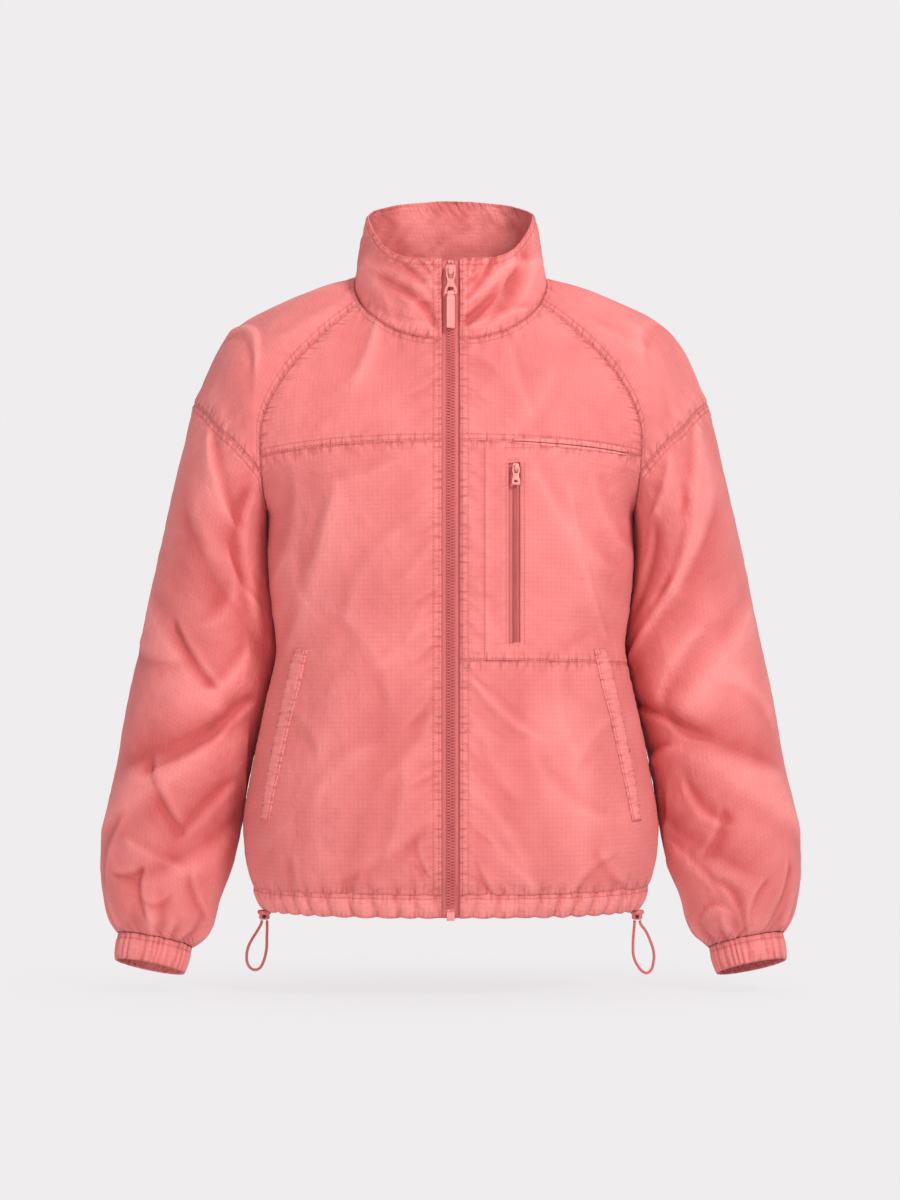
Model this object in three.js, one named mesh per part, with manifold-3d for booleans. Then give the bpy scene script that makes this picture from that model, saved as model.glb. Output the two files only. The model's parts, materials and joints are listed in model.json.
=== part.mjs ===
// A zip-front utility jacket with raglan shoulders, worn and hollow, in millimetres.
// The origin is the centre of the neck's base. +Z is up, the front faces -Y,
// and the sides are named as they are seen from the front: left is -X, right is +X.
import * as THREE from "three";
import { mergeVertices } from "three/addons/utils/BufferGeometryUtils.js";
import Module from "manifold-3d";

const wasm = await Module();
wasm.setup();

// Cloth and seams.
const WALL = 1.2;
const SEAM_GAP = 0.3;
const ZIP_EDGE = 8.8; // each front's folded edge, from the middle of the zip

// Heights of the seams.
const HEM_BOTTOM = -617;
const HEM_SEAM = -594;
const POCKET_SEAM_SIDE = -375;
const ARMPIT = -224;
const NECK_FRONT = -54;
const NECK_BACK = 20;

// Rows of the body's grid, counted up from the hem seam along the side seam and the armhole.
const ROW = { hem: 0, pocketSeam: 6, armpit: 10, point: 14, yoke: 15, neck: 22 };
const FRONT_COLUMNS = 10;
const BACK_COLUMNS = 8; // on each side of the back's middle
const SHOULDER_COLUMNS = 16; // from the front raglan seam over the shoulder to the back one
const SHOULDER_ROWS = ROW.neck - ROW.point;
const SLEEVE_ROWS = 18;
const COLLAR_ROWS = 3;

// Gathers: waves of each casing, and how far they stand out.
const GATHERS = {
  pointsPerWave: 3,
  hemFront: 12,
  hemBack: 24,
  hemRise: 2.4,
  cuff: 26,
  cuffRise: 1.6,
  sleeve: 8,
  sleeveRise: 2.6,
};

// The torso's half width at the side seam, and the depth of its front and back, from the hem up.
const TORSO = columns("z halfWidth front back", [
  [-617, 188, 121, 112],
  [-594, 197, 128, 118],
  [-580, 202, 134, 123],
  [-555, 206, 138, 127],
  [-530, 207, 140, 128],
  [-477, 197, 138, 124],
  [-410, 182, 133, 117],
  [-360, 171, 130, 113],
  [-310, 175.5, 129, 115],
  [-270, 180, 129.5, 120],
  [-224, 182, 129, 125],
  [-170, 186, 121.5, 127],
  [-120, 186, 106, 124],
  [-54, 186, 74, 108],
  [20, 186, 74, 62],
]);

// How each row of the body runs: the heights of its middle, and how far it turns to its edge.
const BODY_ROWS = columns("row frontMiddle backMiddle turn squareness", [
  [0, -594, -594, 90, 2.3],
  [6, -368, -375, 90, 2.3],
  [10, -236, -236, 90, 2.25],
  [14, -170, -168, 62, 2.1],
  [15, -156, -146, 58, 2.05],
  [18, -112, -70, 60, 2],
  [22, -54, 20, 69, 2],
]);

// The armhole's lower half, from the armpit up to where it meets the raglan seam.
const UNDERARM_FRONT = columns("x y z", [
  [182, 0, -224],
  [182.6, -28, -220],
  [184, -56, -206],
  [185.5, -76, -185],
]);
const UNDERARM_BACK = columns("x y z", [
  [182, 0, -224],
  [182.6, 30, -219],
  [184, 58, -202],
  [185.5, 76, -178],
]);

// The raglan seams, from the armhole up towards the neck seam, where they end.
const RAGLAN_FRONT = columns("x y z", [
  [185.5, -76, -185],
  [185.8, -81, -170],
  [186, -84.5, -149],
  [183.5, -85.5, -134],
  [176.5, -84, -115],
  [159.5, -78, -86],
  [138.5, -66, -61],
  [114.5, -48, -37],
]);
const RAGLAN_BACK = columns("x y z", [
  [185.5, 76, -178],
  [187, 82, -162],
  [186, 87, -140],
  [176, 90, -108],
  [154, 86, -70],
  [124, 73, -32],
  [97, 56, 0],
]);

// The dropped seam of each sleeve, from the front raglan seam over the arm to the back one.
const DROP_SEAM = columns("x y z", [
  [185.5, -76, -185],
  [199, -82, -168.5],
  [212, -79, -154.5],
  [227, -67, -142],
  [240, -46, -127],
  [252, -22, -117],
  [256.5, 2, -114],
  [254, 26, -117],
  [245, 48, -125],
  [231, 66, -138],
  [215, 78, -150],
  [200, 82, -163],
  [185.5, 76, -178],
]);

// The line along the top of the shoulder, from the dropped seam to the neck.
const SHOULDER_TOP = columns("x y z", [
  [256.5, 2, -114],
  [246, 3, -88],
  [235, 4, -64],
  [222, 5, -46],
  [207, 5, -34],
  [188, 5, -24],
  [160, 5, -12],
  [127, 4, 0],
  [95.5, 0, 6],
]);
const SHOULDER_TURN = 80; // from the shoulder's top line to each raglan seam, in degrees

// The neck seam and the collar's rim, as rings round the neck.
const NECK = { halfWidth: 95.5, front: 74, back: 62, side: 6 };
const RAGLAN_AT = { front: 69, back: 130 }; // angle round the neck from its front, in degrees
const RIM = { halfWidth: 83, front: 71, back: 66, frontHeight: 25, sideHeight: 74, backHeight: 96 };
const COLLAR_SWELL = 2;

// The sleeve's rings: centre, half sizes, tilt (outer side up) and tip (front side up) in degrees.
const SLEEVE_TOP = -172;
const SLEEVE_END = -648.5;
const SLEEVE = columns("z x y halfWidth halfDepth tilt tip", [
  [-648.5, 294, -14, 38, 36, 11, 13],
  [-643, 292.7, -13, 43, 41, 11, 13],
  [-635, 291.4, -11, 49.6, 47, 11, 12],
  [-622, 290.4, -8, 55.3, 53, 11, 10],
  [-595, 289.5, -2, 61.1, 60, 11, 7],
  [-560, 282.7, 4, 67.2, 65, 11, 4],
  [-525, 276, 10, 68, 68, 11, 1],
  [-480, 268.4, 16, 66.7, 71, 11, 0],
  [-430, 259, 22, 68, 74, 12, 0],
  [-380, 247.6, 25, 69, 76, 13, 0],
  [-340, 240.4, 25, 67.4, 78, 15, 0],
  [-300, 237, 21, 63, 80, 19, 0],
  [-260, 234, 13, 58, 82, 27, 0],
  [-220, 229.5, 6, 56.4, 83, 38, 0],
  [-172, 220, 2, 60, 82, 50, 0],
]);

// The cuff's upper and lower rings.
const CUFF = columns("z x y halfWidth halfDepth tilt tip", [
  [-674.5, 299, -20.5, 34.6, 33, 11, 14],
  [-648.5, 294, -14, 36.5, 34.5, 11, 13],
]);

// Large folds of the sleeves: ends as an angle round the sleeve (0 outside, 90 front) and a height,
// half width across and height out (in where negative).
const SLEEVE_FOLDS = columns("fromAngle fromZ toAngle toZ halfWidth rise", [
  [60, -250, 130, -330, 17, -3.2],
  [35, -345, 105, -405, 18, 3],
  [120, -432, 45, -478, 16, -3.6],
  [70, -500, 20, -545, 17, 2.8],
  [150, -520, 95, -575, 15, -3],
  [230, -330, 300, -395, 18, -3.4],
  [215, -425, 290, -455, 17, 3.2],
  [250, -500, 315, -560, 17, -3.2],
]);

// Large folds of the fronts and the back, seen from the front or from behind: x and z of both ends.
const FRONT_FOLDS = columns("fromX fromZ toX toZ halfWidth rise", [
  [120, -215, 138, -290, 17, 2.6],
  [66, -395, 92, -545, 19, -2.2],
  [118, -420, 128, -560, 18, 2.4],
]);
const BACK_FOLDS = columns("fromX fromZ toX toZ halfWidth rise", [
  [105, -200, 78, -470, 24, 3.4],
  [38, -300, 30, -570, 20, -2.8],
  [-96, -210, -84, -500, 24, 3.2],
  [-30, -240, -46, -560, 20, -2.6],
  [140, -330, 128, -560, 18, -2.6],
  [-138, -340, -126, -565, 18, -2.8],
]);

// Turns a table of rows into objects with the named columns.
function columns(names, rows) {
  const keys = names.split(" ");
  return rows.map((row) => Object.fromEntries(keys.map((key, k) => [key, row[k]])));
}

// Reads a column of a table on a smooth curve through its rows, at a value of the first column.
function read(rows, column, at) {
  const key = Object.keys(rows[0])[0];
  const last = rows.length - 1;
  const found = rows.findIndex((row) => row[key] > at);
  const k = Math.min(Math.max((found < 0 ? last : found) - 1, 0), last - 1);
  const slope = (m) => {
    const [before, after] = [rows[Math.max(m - 1, 0)], rows[Math.min(m + 1, last)]];
    return (after[column] - before[column]) / (after[key] - before[key]);
  };
  const span = rows[k + 1][key] - rows[k][key];
  const t = THREE.MathUtils.clamp((at - rows[k][key]) / span, 0, 1);
  const [a, b] = [rows[k][column], rows[k + 1][column]];
  const [ta, tb] = [slope(k) * span, slope(k + 1) * span];
  return (
    (2 * t ** 3 - 3 * t ** 2 + 1) * a + (t ** 3 - 2 * t ** 2 + t) * ta +
    (3 * t ** 2 - 2 * t ** 3) * b + (t ** 3 - t ** 2) * tb
  );
}

const radians = THREE.MathUtils.degToRad;
const vector = (x, y, z) => new THREE.Vector3(x, y, z);
const curveThrough = (rows) =>
  new THREE.CatmullRomCurve3(rows.map(({ x, y, z }) => vector(x, y, z)), false, "centripetal");

const underarm = { front: curveThrough(UNDERARM_FRONT), back: curveThrough(UNDERARM_BACK) };
const raglan = {
  front: curveThrough([...RAGLAN_FRONT.slice(1), neckPoint(RAGLAN_AT.front)]),
  back: curveThrough([...RAGLAN_BACK.slice(1), neckPoint(RAGLAN_AT.back)]),
};
const dropSeam = curveThrough(DROP_SEAM);
const shoulderTop = curveThrough(SHOULDER_TOP);

// The place of a row's outer edge on the right: side seam, then armhole, then raglan seam.
function edgePoint(half, row) {
  if (row <= ROW.armpit) {
    const z =
      row <= ROW.pocketSeam
        ? THREE.MathUtils.mapLinear(row, 0, ROW.pocketSeam, HEM_SEAM, POCKET_SEAM_SIDE)
        : THREE.MathUtils.mapLinear(row, ROW.pocketSeam, ROW.armpit, POCKET_SEAM_SIDE, ARMPIT);
    return vector(read(TORSO, "halfWidth", z), 0, z);
  }
  if (row <= ROW.point)
    return underarm[half].getPointAt((row - ROW.armpit) / (ROW.point - ROW.armpit));
  const yokePoint = raglan[half].getPointAt(0);
  if (row <= ROW.yoke) return underarm[half].getPointAt(1).lerp(yokePoint, row - ROW.point);
  return raglan[half].getPointAt((row - ROW.yoke) / (ROW.neck - ROW.yoke));
}

// How far along x, and how far back along y and z, a row has gone at a share of its turn.
function turned(share, turn, squareness) {
  const power = 2 / squareness;
  const angle = radians(turn);
  const across = (Math.sin(share * angle) / Math.sin(angle)) ** power;
  const cosine = (a) => Math.max(Math.cos(a), 0) ** power;
  return { across, back: (1 - cosine(share * angle)) / (1 - cosine(angle)) };
}

// A point of the right front's or the back's cloth before folds.
function bodyPoint(half, row, share) {
  const edge = edgePoint(half, row);
  const middle = read(BODY_ROWS, half + "Middle", row);
  const depth = read(TORSO, half, middle);
  const start = half === "front" ? vector(ZIP_EDGE, -depth, middle) : vector(0, depth, middle);
  const { across, back } = turned(
    share, read(BODY_ROWS, "turn", row), read(BODY_ROWS, "squareness", row));
  return vector(
    start.x + (edge.x - start.x) * across,
    start.y + (edge.y - start.y) * back,
    start.z + (edge.z - start.z) * back,
  );
}

// How far a surface stands out at a place: the sum of soft ridges along straight lines.
function foldRise(folds, u, v, names, stretch = 1) {
  return folds.reduce((sum, fold) => {
    const [u1, v1, u2, v2] = names.map((name) => fold[name]);
    const [du, dv] = [(u2 - u1) * stretch, v2 - v1];
    const [pu, pv] = [(u - u1) * stretch, v - v1];
    const length = Math.hypot(du, dv);
    const along = (pu * du + pv * dv) / length ** 2;
    const off = Math.abs(pu * dv - pv * du) / length / fold.halfWidth;
    const past = Math.max(-along, along - 1, 0) * length / (2 * fold.halfWidth);
    return sum + fold.rise * Math.exp(-(off ** 2) - past ** 2);
  }, 0);
}

// The neck seam as a ring: angle 0 is the front, 90 the right side, 180 the back.
function neckPoint(angle) {
  const c = Math.cos(radians(angle));
  const y = -(c > 0 ? NECK.front : NECK.back) * c;
  const drop = NECK.side - NECK_FRONT;
  const rise = NECK_BACK - NECK.side;
  const z = c > 0
    ? NECK.side - drop * (0.87 * c + 0.38 * c ** 2 - 0.25 * c ** 3)
    : NECK.side + rise * (1 - (1 + c) ** 3);
  return vector(NECK.halfWidth * Math.sin(radians(angle)), y, z);
}

// The collar's rim: it dips to the zip and rises to the back.
function rimPoint(angle) {
  const c = Math.cos(radians(angle));
  const x = Math.max(RIM.halfWidth * Math.sin(radians(angle)), ZIP_EDGE * (c > 0.9));
  const z = c > 0
    ? RIM.sideHeight - (RIM.sideHeight - RIM.frontHeight) * Math.sin((Math.PI / 2) * c) ** 1.8
    : RIM.sideHeight - (RIM.backHeight - RIM.sideHeight) * c;
  return vector(x, -(c > 0 ? RIM.front : RIM.back) * c, z);
}

// The arch over the shoulder between the raglan seams, at a share of the way to the neck.
function shoulderArch(row, share) {
  const half = share < 0.5 ? "front" : "back";
  const top = shoulderTop.getPointAt(row / SHOULDER_ROWS);
  const foot = edgePoint(half, ROW.point + row);
  const angle = radians(SHOULDER_TURN * Math.abs(1 - 2 * share));
  const out = Math.sin(angle) / Math.sin(radians(SHOULDER_TURN));
  const down = (1 - Math.cos(angle)) / (1 - Math.cos(radians(SHOULDER_TURN)));
  return vector(
    top.x + (foot.x - top.x) * down,
    top.y + (foot.y - top.y) * out,
    top.z + (foot.z - top.z) * down,
  );
}

// The right shoulder's cloth: the arch, brought onto the dropped seam and onto the neck seam.
function shoulderPoint(row, share) {
  const toNeck = row / SHOULDER_ROWS;
  const neck = neckPoint(THREE.MathUtils.lerp(RAGLAN_AT.front, RAGLAN_AT.back, share));
  const atSeam = dropSeam.getPointAt(share).sub(shoulderArch(0, share));
  const atNeck = neck.sub(shoulderArch(SHOULDER_ROWS, share));
  return shoulderArch(row, share)
    .addScaledVector(atSeam, 1 - toNeck)
    .addScaledVector(atNeck, toNeck);
}

// A point on an elliptical ring of a table, at an angle from its outer side towards the front.
function ringPoint(table, z, angle) {
  const at = (column) => read(table, column, z);
  const [tilt, tip] = [radians(at("tilt")), radians(at("tip"))];
  const out = at("halfWidth") * Math.cos(angle);
  const forward = at("halfDepth") * Math.sin(angle);
  return vector(
    at("x") + out * Math.cos(tilt),
    at("y") - forward * Math.cos(tip),
    z + out * Math.sin(tilt) + forward * Math.sin(tip),
  );
}

// The direction square to such a ring, pointing up the arm.
function ringAxis(table, z) {
  const [tilt, tip] = [radians(read(table, "tilt", z)), radians(read(table, "tip", z))];
  const out = vector(Math.cos(tilt), 0, Math.sin(tilt));
  return out.cross(vector(0, Math.cos(tip), -Math.sin(tip))).normalize();
}

const SLEEVE_COLUMNS = SHOULDER_COLUMNS + 2 * (ROW.point - ROW.armpit);

// The right sleeve's top ring: the dropped seam over the arm, then the armhole under it.
function armholePoint(column) {
  const quarter = SHOULDER_COLUMNS / 2;
  const steps = ROW.point - ROW.armpit;
  if (column <= quarter) return dropSeam.getPointAt(0.5 - column / SHOULDER_COLUMNS);
  if (column <= quarter + steps)
    return underarm.front.getPointAt(1 - (column - quarter) / steps);
  if (column <= quarter + 2 * steps)
    return underarm.back.getPointAt((column - quarter - steps) / steps);
  return dropSeam.getPointAt(1 - (column - quarter - 2 * steps) / SHOULDER_COLUMNS);
}

// The rings lie closer together towards the cuff.
function sleeveHeight(row) {
  const t = row / SLEEVE_ROWS;
  return THREE.MathUtils.lerp(SLEEVE_TOP, SLEEVE_END, 1.6 * t - 0.6 * t ** 2);
}

function sleevePoint(row, column) {
  if (row === 0) return armholePoint(column);
  return ringPoint(SLEEVE, sleeveHeight(row), (2 * Math.PI * column) / SLEEVE_COLUMNS);
}

// The sleeve's folds, and the gathers that run into the cuff.
function sleeveRise(row, column) {
  const z = sleeveHeight(row);
  const degrees = (360 * column) / SLEEVE_COLUMNS;
  const millimetresPerDegree = radians(read(SLEEVE, "halfDepth", z));
  const names = ["fromAngle", "fromZ", "toAngle", "toZ"];
  const folds = foldRise(SLEEVE_FOLDS, degrees, z, names, millimetresPerDegree);
  const nearCuff = THREE.MathUtils.smoothstep(-z, -SLEEVE_END - 60, -SLEEVE_END - 12);
  const wave = Math.sin((2 * Math.PI * GATHERS.sleeve * column) / SLEEVE_COLUMNS + 0.6);
  return folds + GATHERS.sleeveRise * nearCuff * wave;
}

// One panel of cloth: its grid of outer points, its folds, and what its casing raises.
// Columns run away from the zip and rows run up, so the right side's outer face winds outwards.
const panels = [];
function addPanel(name, options) {
  const { rows, count, point, side = 1, tube = false } = options;
  const width = tube ? count : count + 1;
  const points = Array.from({ length: rows + 1 }, (_, i) =>
    Array.from({ length: width }, (_, j) => point(i, j).multiply(vector(side, 1, 1))));
  const panel = { raise: () => 0, fold: () => 0, ...options, name, side, tube, width, points };
  const rest = points.map((line, i) => line.map((_, j) => normalAt(panel, i, j)));
  points.forEach((line, i) => line.forEach((p, j) => {
    const onEdge = i === 0 || i === rows || (!tube && (j === 0 || j === count));
    if (!onEdge) p.addScaledVector(rest[i][j], panel.fold(i, j, p));
  }));
  panels.push(panel);
}

// The outward normal of a panel's grid at one of its points.
function normalAt({ points, rows, width, tube, side }, i, j) {
  const line = points[i];
  const before = tube ? line[(j + width - 1) % width] : line[Math.max(j - 1, 0)];
  const after = tube ? line[(j + 1) % width] : line[Math.min(j + 1, width - 1)];
  const [under, over] = [points[Math.max(i - 1, 0)][j], points[Math.min(i + 1, rows)][j]];
  const along = after.clone().sub(before);
  return along.cross(over.clone().sub(under)).multiplyScalar(side).normalize();
}

const seamKey = (p) => [p.x, p.y, p.z].map((v) => Math.round(v * 20)).join();

// Panels that share a seam share its normal too, so their edges stay parallel.
function seamNormals() {
  const sums = new Map();
  for (const panel of panels) {
    panel.normals = panel.points.map((line, i) => line.map((_, j) => normalAt(panel, i, j)));
    const flat = [[panel.flatFirst, 0], [panel.flatLast, panel.rows]];
    for (const [axis, i] of flat)
      if (axis) for (const n of panel.normals[i]) n.projectOnPlane(axis).normalize();
    panel.points.forEach((line, i) => line.forEach((p, j) => {
      const key = seamKey(p);
      if (!sums.has(key)) sums.set(key, vector(0, 0, 0));
      sums.get(key).add(panel.normals[i][j]);
    }));
  }
  return sums;
}

// Draws a panel's edge point back from its seam by half the gap.
function drawnBack(panel, i, j, normal) {
  const { points, rows, width, tube } = panel;
  const p = points[i][j];
  const moved = p.clone();
  const pull = (inside, one, other) => {
    const back = inside.clone().sub(p).projectOnPlane(normal);
    back.projectOnPlane(one.clone().sub(other).normalize()).normalize();
    moved.addScaledVector(back, SEAM_GAP / 2);
  };
  const last = width - 1;
  const sideways = [points[i][tube ? (j + last) % width : Math.max(j - 1, 0)],
    points[i][tube ? (j + 1) % width : Math.min(j + 1, last)]];
  const upright = [points[Math.max(i - 1, 0)][j], points[Math.min(i + 1, rows)][j]];
  if (i === 0) pull(points[1][j], ...sideways);
  if (i === rows) pull(points[rows - 1][j], ...sideways);
  if (!tube && j === 0) pull(points[i][1], ...upright);
  if (!tube && j === last) pull(points[i][last - 1], ...upright);
  return moved;
}

// A closed wall between two grids of points. `flip` turns its faces round for a mirrored side.
function wallBetween(outer, inner, tube = false, flip = false) {
  const [rows, width] = [outer.length - 1, outer[0].length];
  const faces = [];
  const at = (layer, i, j) => (layer * (rows + 1) + i) * width + (j % width);
  const quad = (a, b, c, d) => {
    faces.push(...(flip ? [a, c, b, a, d, c] : [a, b, c, a, c, d]));
  };
  const cells = tube ? width : width - 1;
  for (let i = 0; i < rows; i += 1)
    for (let j = 0; j < cells; j += 1) {
      quad(at(0, i, j), at(0, i, j + 1), at(0, i + 1, j + 1), at(0, i + 1, j));
      const inside = [at(1, i, j), at(1, i + 1, j), at(1, i + 1, j + 1), at(1, i, j + 1)];
      // The inner face is split along the same diagonal as the outer one.
      quad(inside[2], inside[3], inside[0], inside[1]);
    }
  for (let j = 0; j < cells; j += 1) {
    quad(at(1, 0, j), at(1, 0, j + 1), at(0, 0, j + 1), at(0, 0, j));
    quad(at(0, rows, j), at(0, rows, j + 1), at(1, rows, j + 1), at(1, rows, j));
  }
  if (!tube)
    for (let i = 0; i < rows; i += 1) {
      quad(at(0, i, 0), at(0, i + 1, 0), at(1, i + 1, 0), at(1, i, 0));
      quad(at(1, i, width - 1), at(1, i + 1, width - 1), at(0, i + 1, width - 1), at(0, i, width - 1));
    }
  const geometry = new THREE.BufferGeometry();
  const places = [outer, inner].flat(2).flatMap(({ x, y, z }) => [x, y, z]);
  geometry.setAttribute("position", new THREE.Float32BufferAttribute(places, 3));
  geometry.setIndex(faces);
  return geometry;
}

// A panel's wall: the cloth's inside is plain, and its outside carries what the casing raises.
function panelGeometry(panel, sums) {
  const outer = [];
  const inner = [];
  panel.points.forEach((line, i) => {
    outer.push([]);
    inner.push([]);
    line.forEach((p, j) => {
      const seam = sums.get(seamKey(p)).clone().normalize();
      const place = drawnBack(panel, i, j, seam);
      outer[i].push(place.clone().addScaledVector(seam, panel.raise(i, j)));
      inner[i].push(place.addScaledVector(seam, -WALL));
    });
  });
  return wallBetween(outer, inner, panel.tube, panel.side < 0);
}

// The body's panels
const frontFold = (i, j, p) => foldRise(FRONT_FOLDS, Math.abs(p.x), p.z, ["fromX", "fromZ", "toX", "toZ"]);
const backFold = (i, j, p) => foldRise(BACK_FOLDS, p.x, p.z, ["fromX", "fromZ", "toX", "toZ"]);
const up = vector(0, 0, 1);

function addFront(name, side, from, to) {
  addPanel(name, {
    side,
    rows: to - from,
    count: FRONT_COLUMNS,
    point: (i, j) => bodyPoint("front", from + i, j / FRONT_COLUMNS),
    fold: frontFold,
    flatFirst: from === ROW.hem && up,
  });
}
addFront("front_left", -1, ROW.hem, ROW.yoke);
addFront("yoke_left", -1, ROW.yoke, ROW.neck);
addFront("front_right_lower", 1, ROW.hem, ROW.pocketSeam);
addFront("chest_panel_right", 1, ROW.pocketSeam, ROW.yoke);
addFront("yoke_right", 1, ROW.yoke, ROW.neck);

// The back's columns run from the right side seam to the left one.
function backPoint(row, column) {
  const share = 1 - column / BACK_COLUMNS;
  return bodyPoint("back", row, Math.abs(share)).multiply(vector(Math.sign(share) || 1, 1, 1));
}
addPanel("back", {
  rows: ROW.neck,
  count: 2 * BACK_COLUMNS,
  point: backPoint,
  fold: backFold,
  flatFirst: up,
});

// Shoulders, sleeves and cuffs
const cuffTop = ringAxis(CUFF, SLEEVE_END);
function cuffPoint(row, column) {
  const z = row === 0 ? SLEEVE_END : CUFF[0].z;
  return ringPoint(CUFF, z, (2 * Math.PI * column) / (GATHERS.cuff * GATHERS.pointsPerWave));
}
const gather = (column) => 0.5 - 0.5 * Math.cos((2 * Math.PI * column) / GATHERS.pointsPerWave);
for (const [where, side] of [["left", -1], ["right", 1]]) {
  const axis = cuffTop.clone().multiply(vector(side, 1, 1));
  addPanel("shoulder_" + where, {
    side,
    rows: SHOULDER_ROWS,
    count: SHOULDER_COLUMNS,
    point: (i, j) => shoulderPoint(i, j / SHOULDER_COLUMNS),
  });
  addPanel("sleeve_" + where, {
    side,
    rows: SLEEVE_ROWS,
    count: SLEEVE_COLUMNS,
    tube: true,
    point: sleevePoint,
    fold: sleeveRise,
    flatLast: axis,
  });
  addPanel("cuff_" + where, {
    side,
    rows: 1,
    count: GATHERS.cuff * GATHERS.pointsPerWave,
    tube: true,
    point: cuffPoint,
    raise: (i, j) => GATHERS.cuffRise * gather(j),
    flatFirst: axis,
  });
}

// The hem casing: level rings, gathered most half way down.
const HEM_ROWS = 2;
const HEM_RISE = [0.6, 1, 0.5]; // share of the gathers' rise on each ring, from the bottom
const hemRaise = (i, j) => GATHERS.hemRise * HEM_RISE[i] * gather(j);
function hemPoint(half, row, share) {
  const z = THREE.MathUtils.lerp(HEM_BOTTOM, HEM_SEAM, row / HEM_ROWS);
  const depth = read(TORSO, half, z);
  const halfWidth = read(TORSO, "halfWidth", z);
  const { across, back } = turned(share, 90, BODY_ROWS[0].squareness);
  if (half === "back") return vector(halfWidth * across, depth * (1 - back), z);
  return vector(ZIP_EDGE + (halfWidth - ZIP_EDGE) * across, -depth * (1 - back), z);
}
for (const [where, side] of [["left", -1], ["right", 1]]) {
  const count = GATHERS.hemFront * GATHERS.pointsPerWave;
  addPanel("hem_" + where, {
    side,
    rows: HEM_ROWS,
    count,
    point: (i, j) => hemPoint("front", i, j / count),
    raise: hemRaise,
    flatLast: up,
  });
}
const hemBackCount = GATHERS.hemBack * GATHERS.pointsPerWave;
addPanel("hem_back", {
  rows: HEM_ROWS,
  count: hemBackCount,
  point: (i, j) => {
    const share = 1 - (2 * j) / hemBackCount;
    return hemPoint("back", i, Math.abs(share)).multiply(vector(Math.sign(share) || 1, 1, 1));
  },
  raise: hemRaise,
  flatLast: up,
});

// The collar stands on the neck seam's own points, taken from the right front edge round to the left.
const mirrored = (points) => points.map((p) => p.clone().multiply(vector(-1, 1, 1))).reverse();
const steps = (count) => Array.from({ length: count + 1 }, (_, k) => k / count);
const neckRight = [
  ...steps(FRONT_COLUMNS).map((share) => bodyPoint("front", ROW.neck, share)),
  ...steps(SHOULDER_COLUMNS).slice(1).map((share) => shoulderPoint(SHOULDER_ROWS, share)),
  ...steps(BACK_COLUMNS).slice(1).map((share) => bodyPoint("back", ROW.neck, 1 - share)),
];
const neckSeam = [...neckRight, ...mirrored(neckRight).slice(1)];
function collarPoint(row, column) {
  const foot = neckSeam[column];
  const depth = foot.y < 0 ? NECK.front : NECK.back;
  const angle = Math.atan2(Math.abs(foot.x) / NECK.halfWidth, -foot.y / depth);
  const rim = rimPoint(THREE.MathUtils.radToDeg(angle));
  rim.x *= Math.sign(foot.x) || 1;
  const share = row / COLLAR_ROWS;
  const swell = COLLAR_SWELL * Math.sin(Math.PI * share) * Math.sin(angle) * Math.sign(foot.x);
  return foot.clone().lerp(rim, share).add(vector(swell, 0, 0));
}
addPanel("collar", { rows: COLLAR_ROWS, count: neckSeam.length - 1, point: collarPoint });

// The finished group
const CLOTH = { color: "#e8807b", roughness: 0.85, metalness: 0 };
const TRIM = { color: "#e98d86", roughness: 0.5, metalness: 0 };
const jacket = new THREE.Group();
function addMesh(name, geometry, look) {
  const mesh = new THREE.Mesh(geometry, new THREE.MeshStandardMaterial(look));
  mesh.name = name;
  jacket.add(mesh);
  return mesh;
}
const sums = seamNormals();
for (const panel of panels) addMesh(panel.name, panelGeometry(panel, sums), CLOTH);

// Closed geometries as manifold solids, to join or to cut.
function solidOf(geometry) {
  const plain = geometry.clone();
  plain.deleteAttribute("normal");
  plain.deleteAttribute("uv");
  const merged = mergeVertices(plain, 1e-4);
  const triVerts = new Uint32Array(merged.index.array);
  const vertProperties = merged.attributes.position.array;
  return new wasm.Manifold(new wasm.Mesh({ numProp: 3, vertProperties, triVerts }));
}
function geometryOf(solid) {
  const { vertProperties, triVerts } = solid.getMesh();
  const geometry = new THREE.BufferGeometry();
  geometry.setAttribute("position", new THREE.BufferAttribute(vertProperties, 3));
  return geometry.setIndex(new THREE.BufferAttribute(triVerts, 1));
}
const join = (...parts) => geometryOf(parts.map(solidOf).reduce((a, b) => a.add(b)));
const cut = (whole, tool) => geometryOf(solidOf(whole).subtract(solidOf(tool)));

function box(x1, x2, y1, y2, z1, z2) {
  const geometry = new THREE.BoxGeometry(x2 - x1, y2 - y1, z2 - z1);
  return geometry.translate((x1 + x2) / 2, (y1 + y2) / 2, (z1 + z2) / 2);
}

// A flat plate: an outline in x and z, as thick along y as asked, about y = 0.
function flatPlate(shape, thickness) {
  const options = { depth: thickness, bevelEnabled: false, curveSegments: 6 };
  const geometry = new THREE.ExtrudeGeometry(shape, options);
  return geometry.rotateX(Math.PI / 2).translate(0, thickness / 2, 0);
}

// A profile in z and y, extruded along x about x = 0.
function crossBar(shape, width) {
  const geometry = new THREE.ExtrudeGeometry(shape, { depth: width, bevelEnabled: false, curveSegments: 6 });
  return geometry.rotateY(Math.PI / 2).translate(-width / 2, 0, 0);
}

function rectangle(x1, x2, y1, y2) {
  return [[x1, y1], [x2, y1], [x2, y2], [x1, y2]].map(([x, y]) => new THREE.Vector2(x, y));
}

// The main zip runs in the gap between the fronts, from the hem to the collar's rim.
const ZIP = { chainHalf: 3.9, tapeFrom: 4.2, tapeTo: 12.5, top: 19, boxTop: -606.5, boxBottom: -619.5 };
const TAPE = { under: WALL + 1.2, thick: 1 };
const CHAIN = { front: 0.2, back: 3.4 };
const frontLine = (z) =>
  z < NECK_FRONT
    ? -read(TORSO, "front", z)
    : THREE.MathUtils.mapLinear(z, NECK_FRONT, RIM.frontHeight, -NECK.front, -RIM.front);

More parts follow.
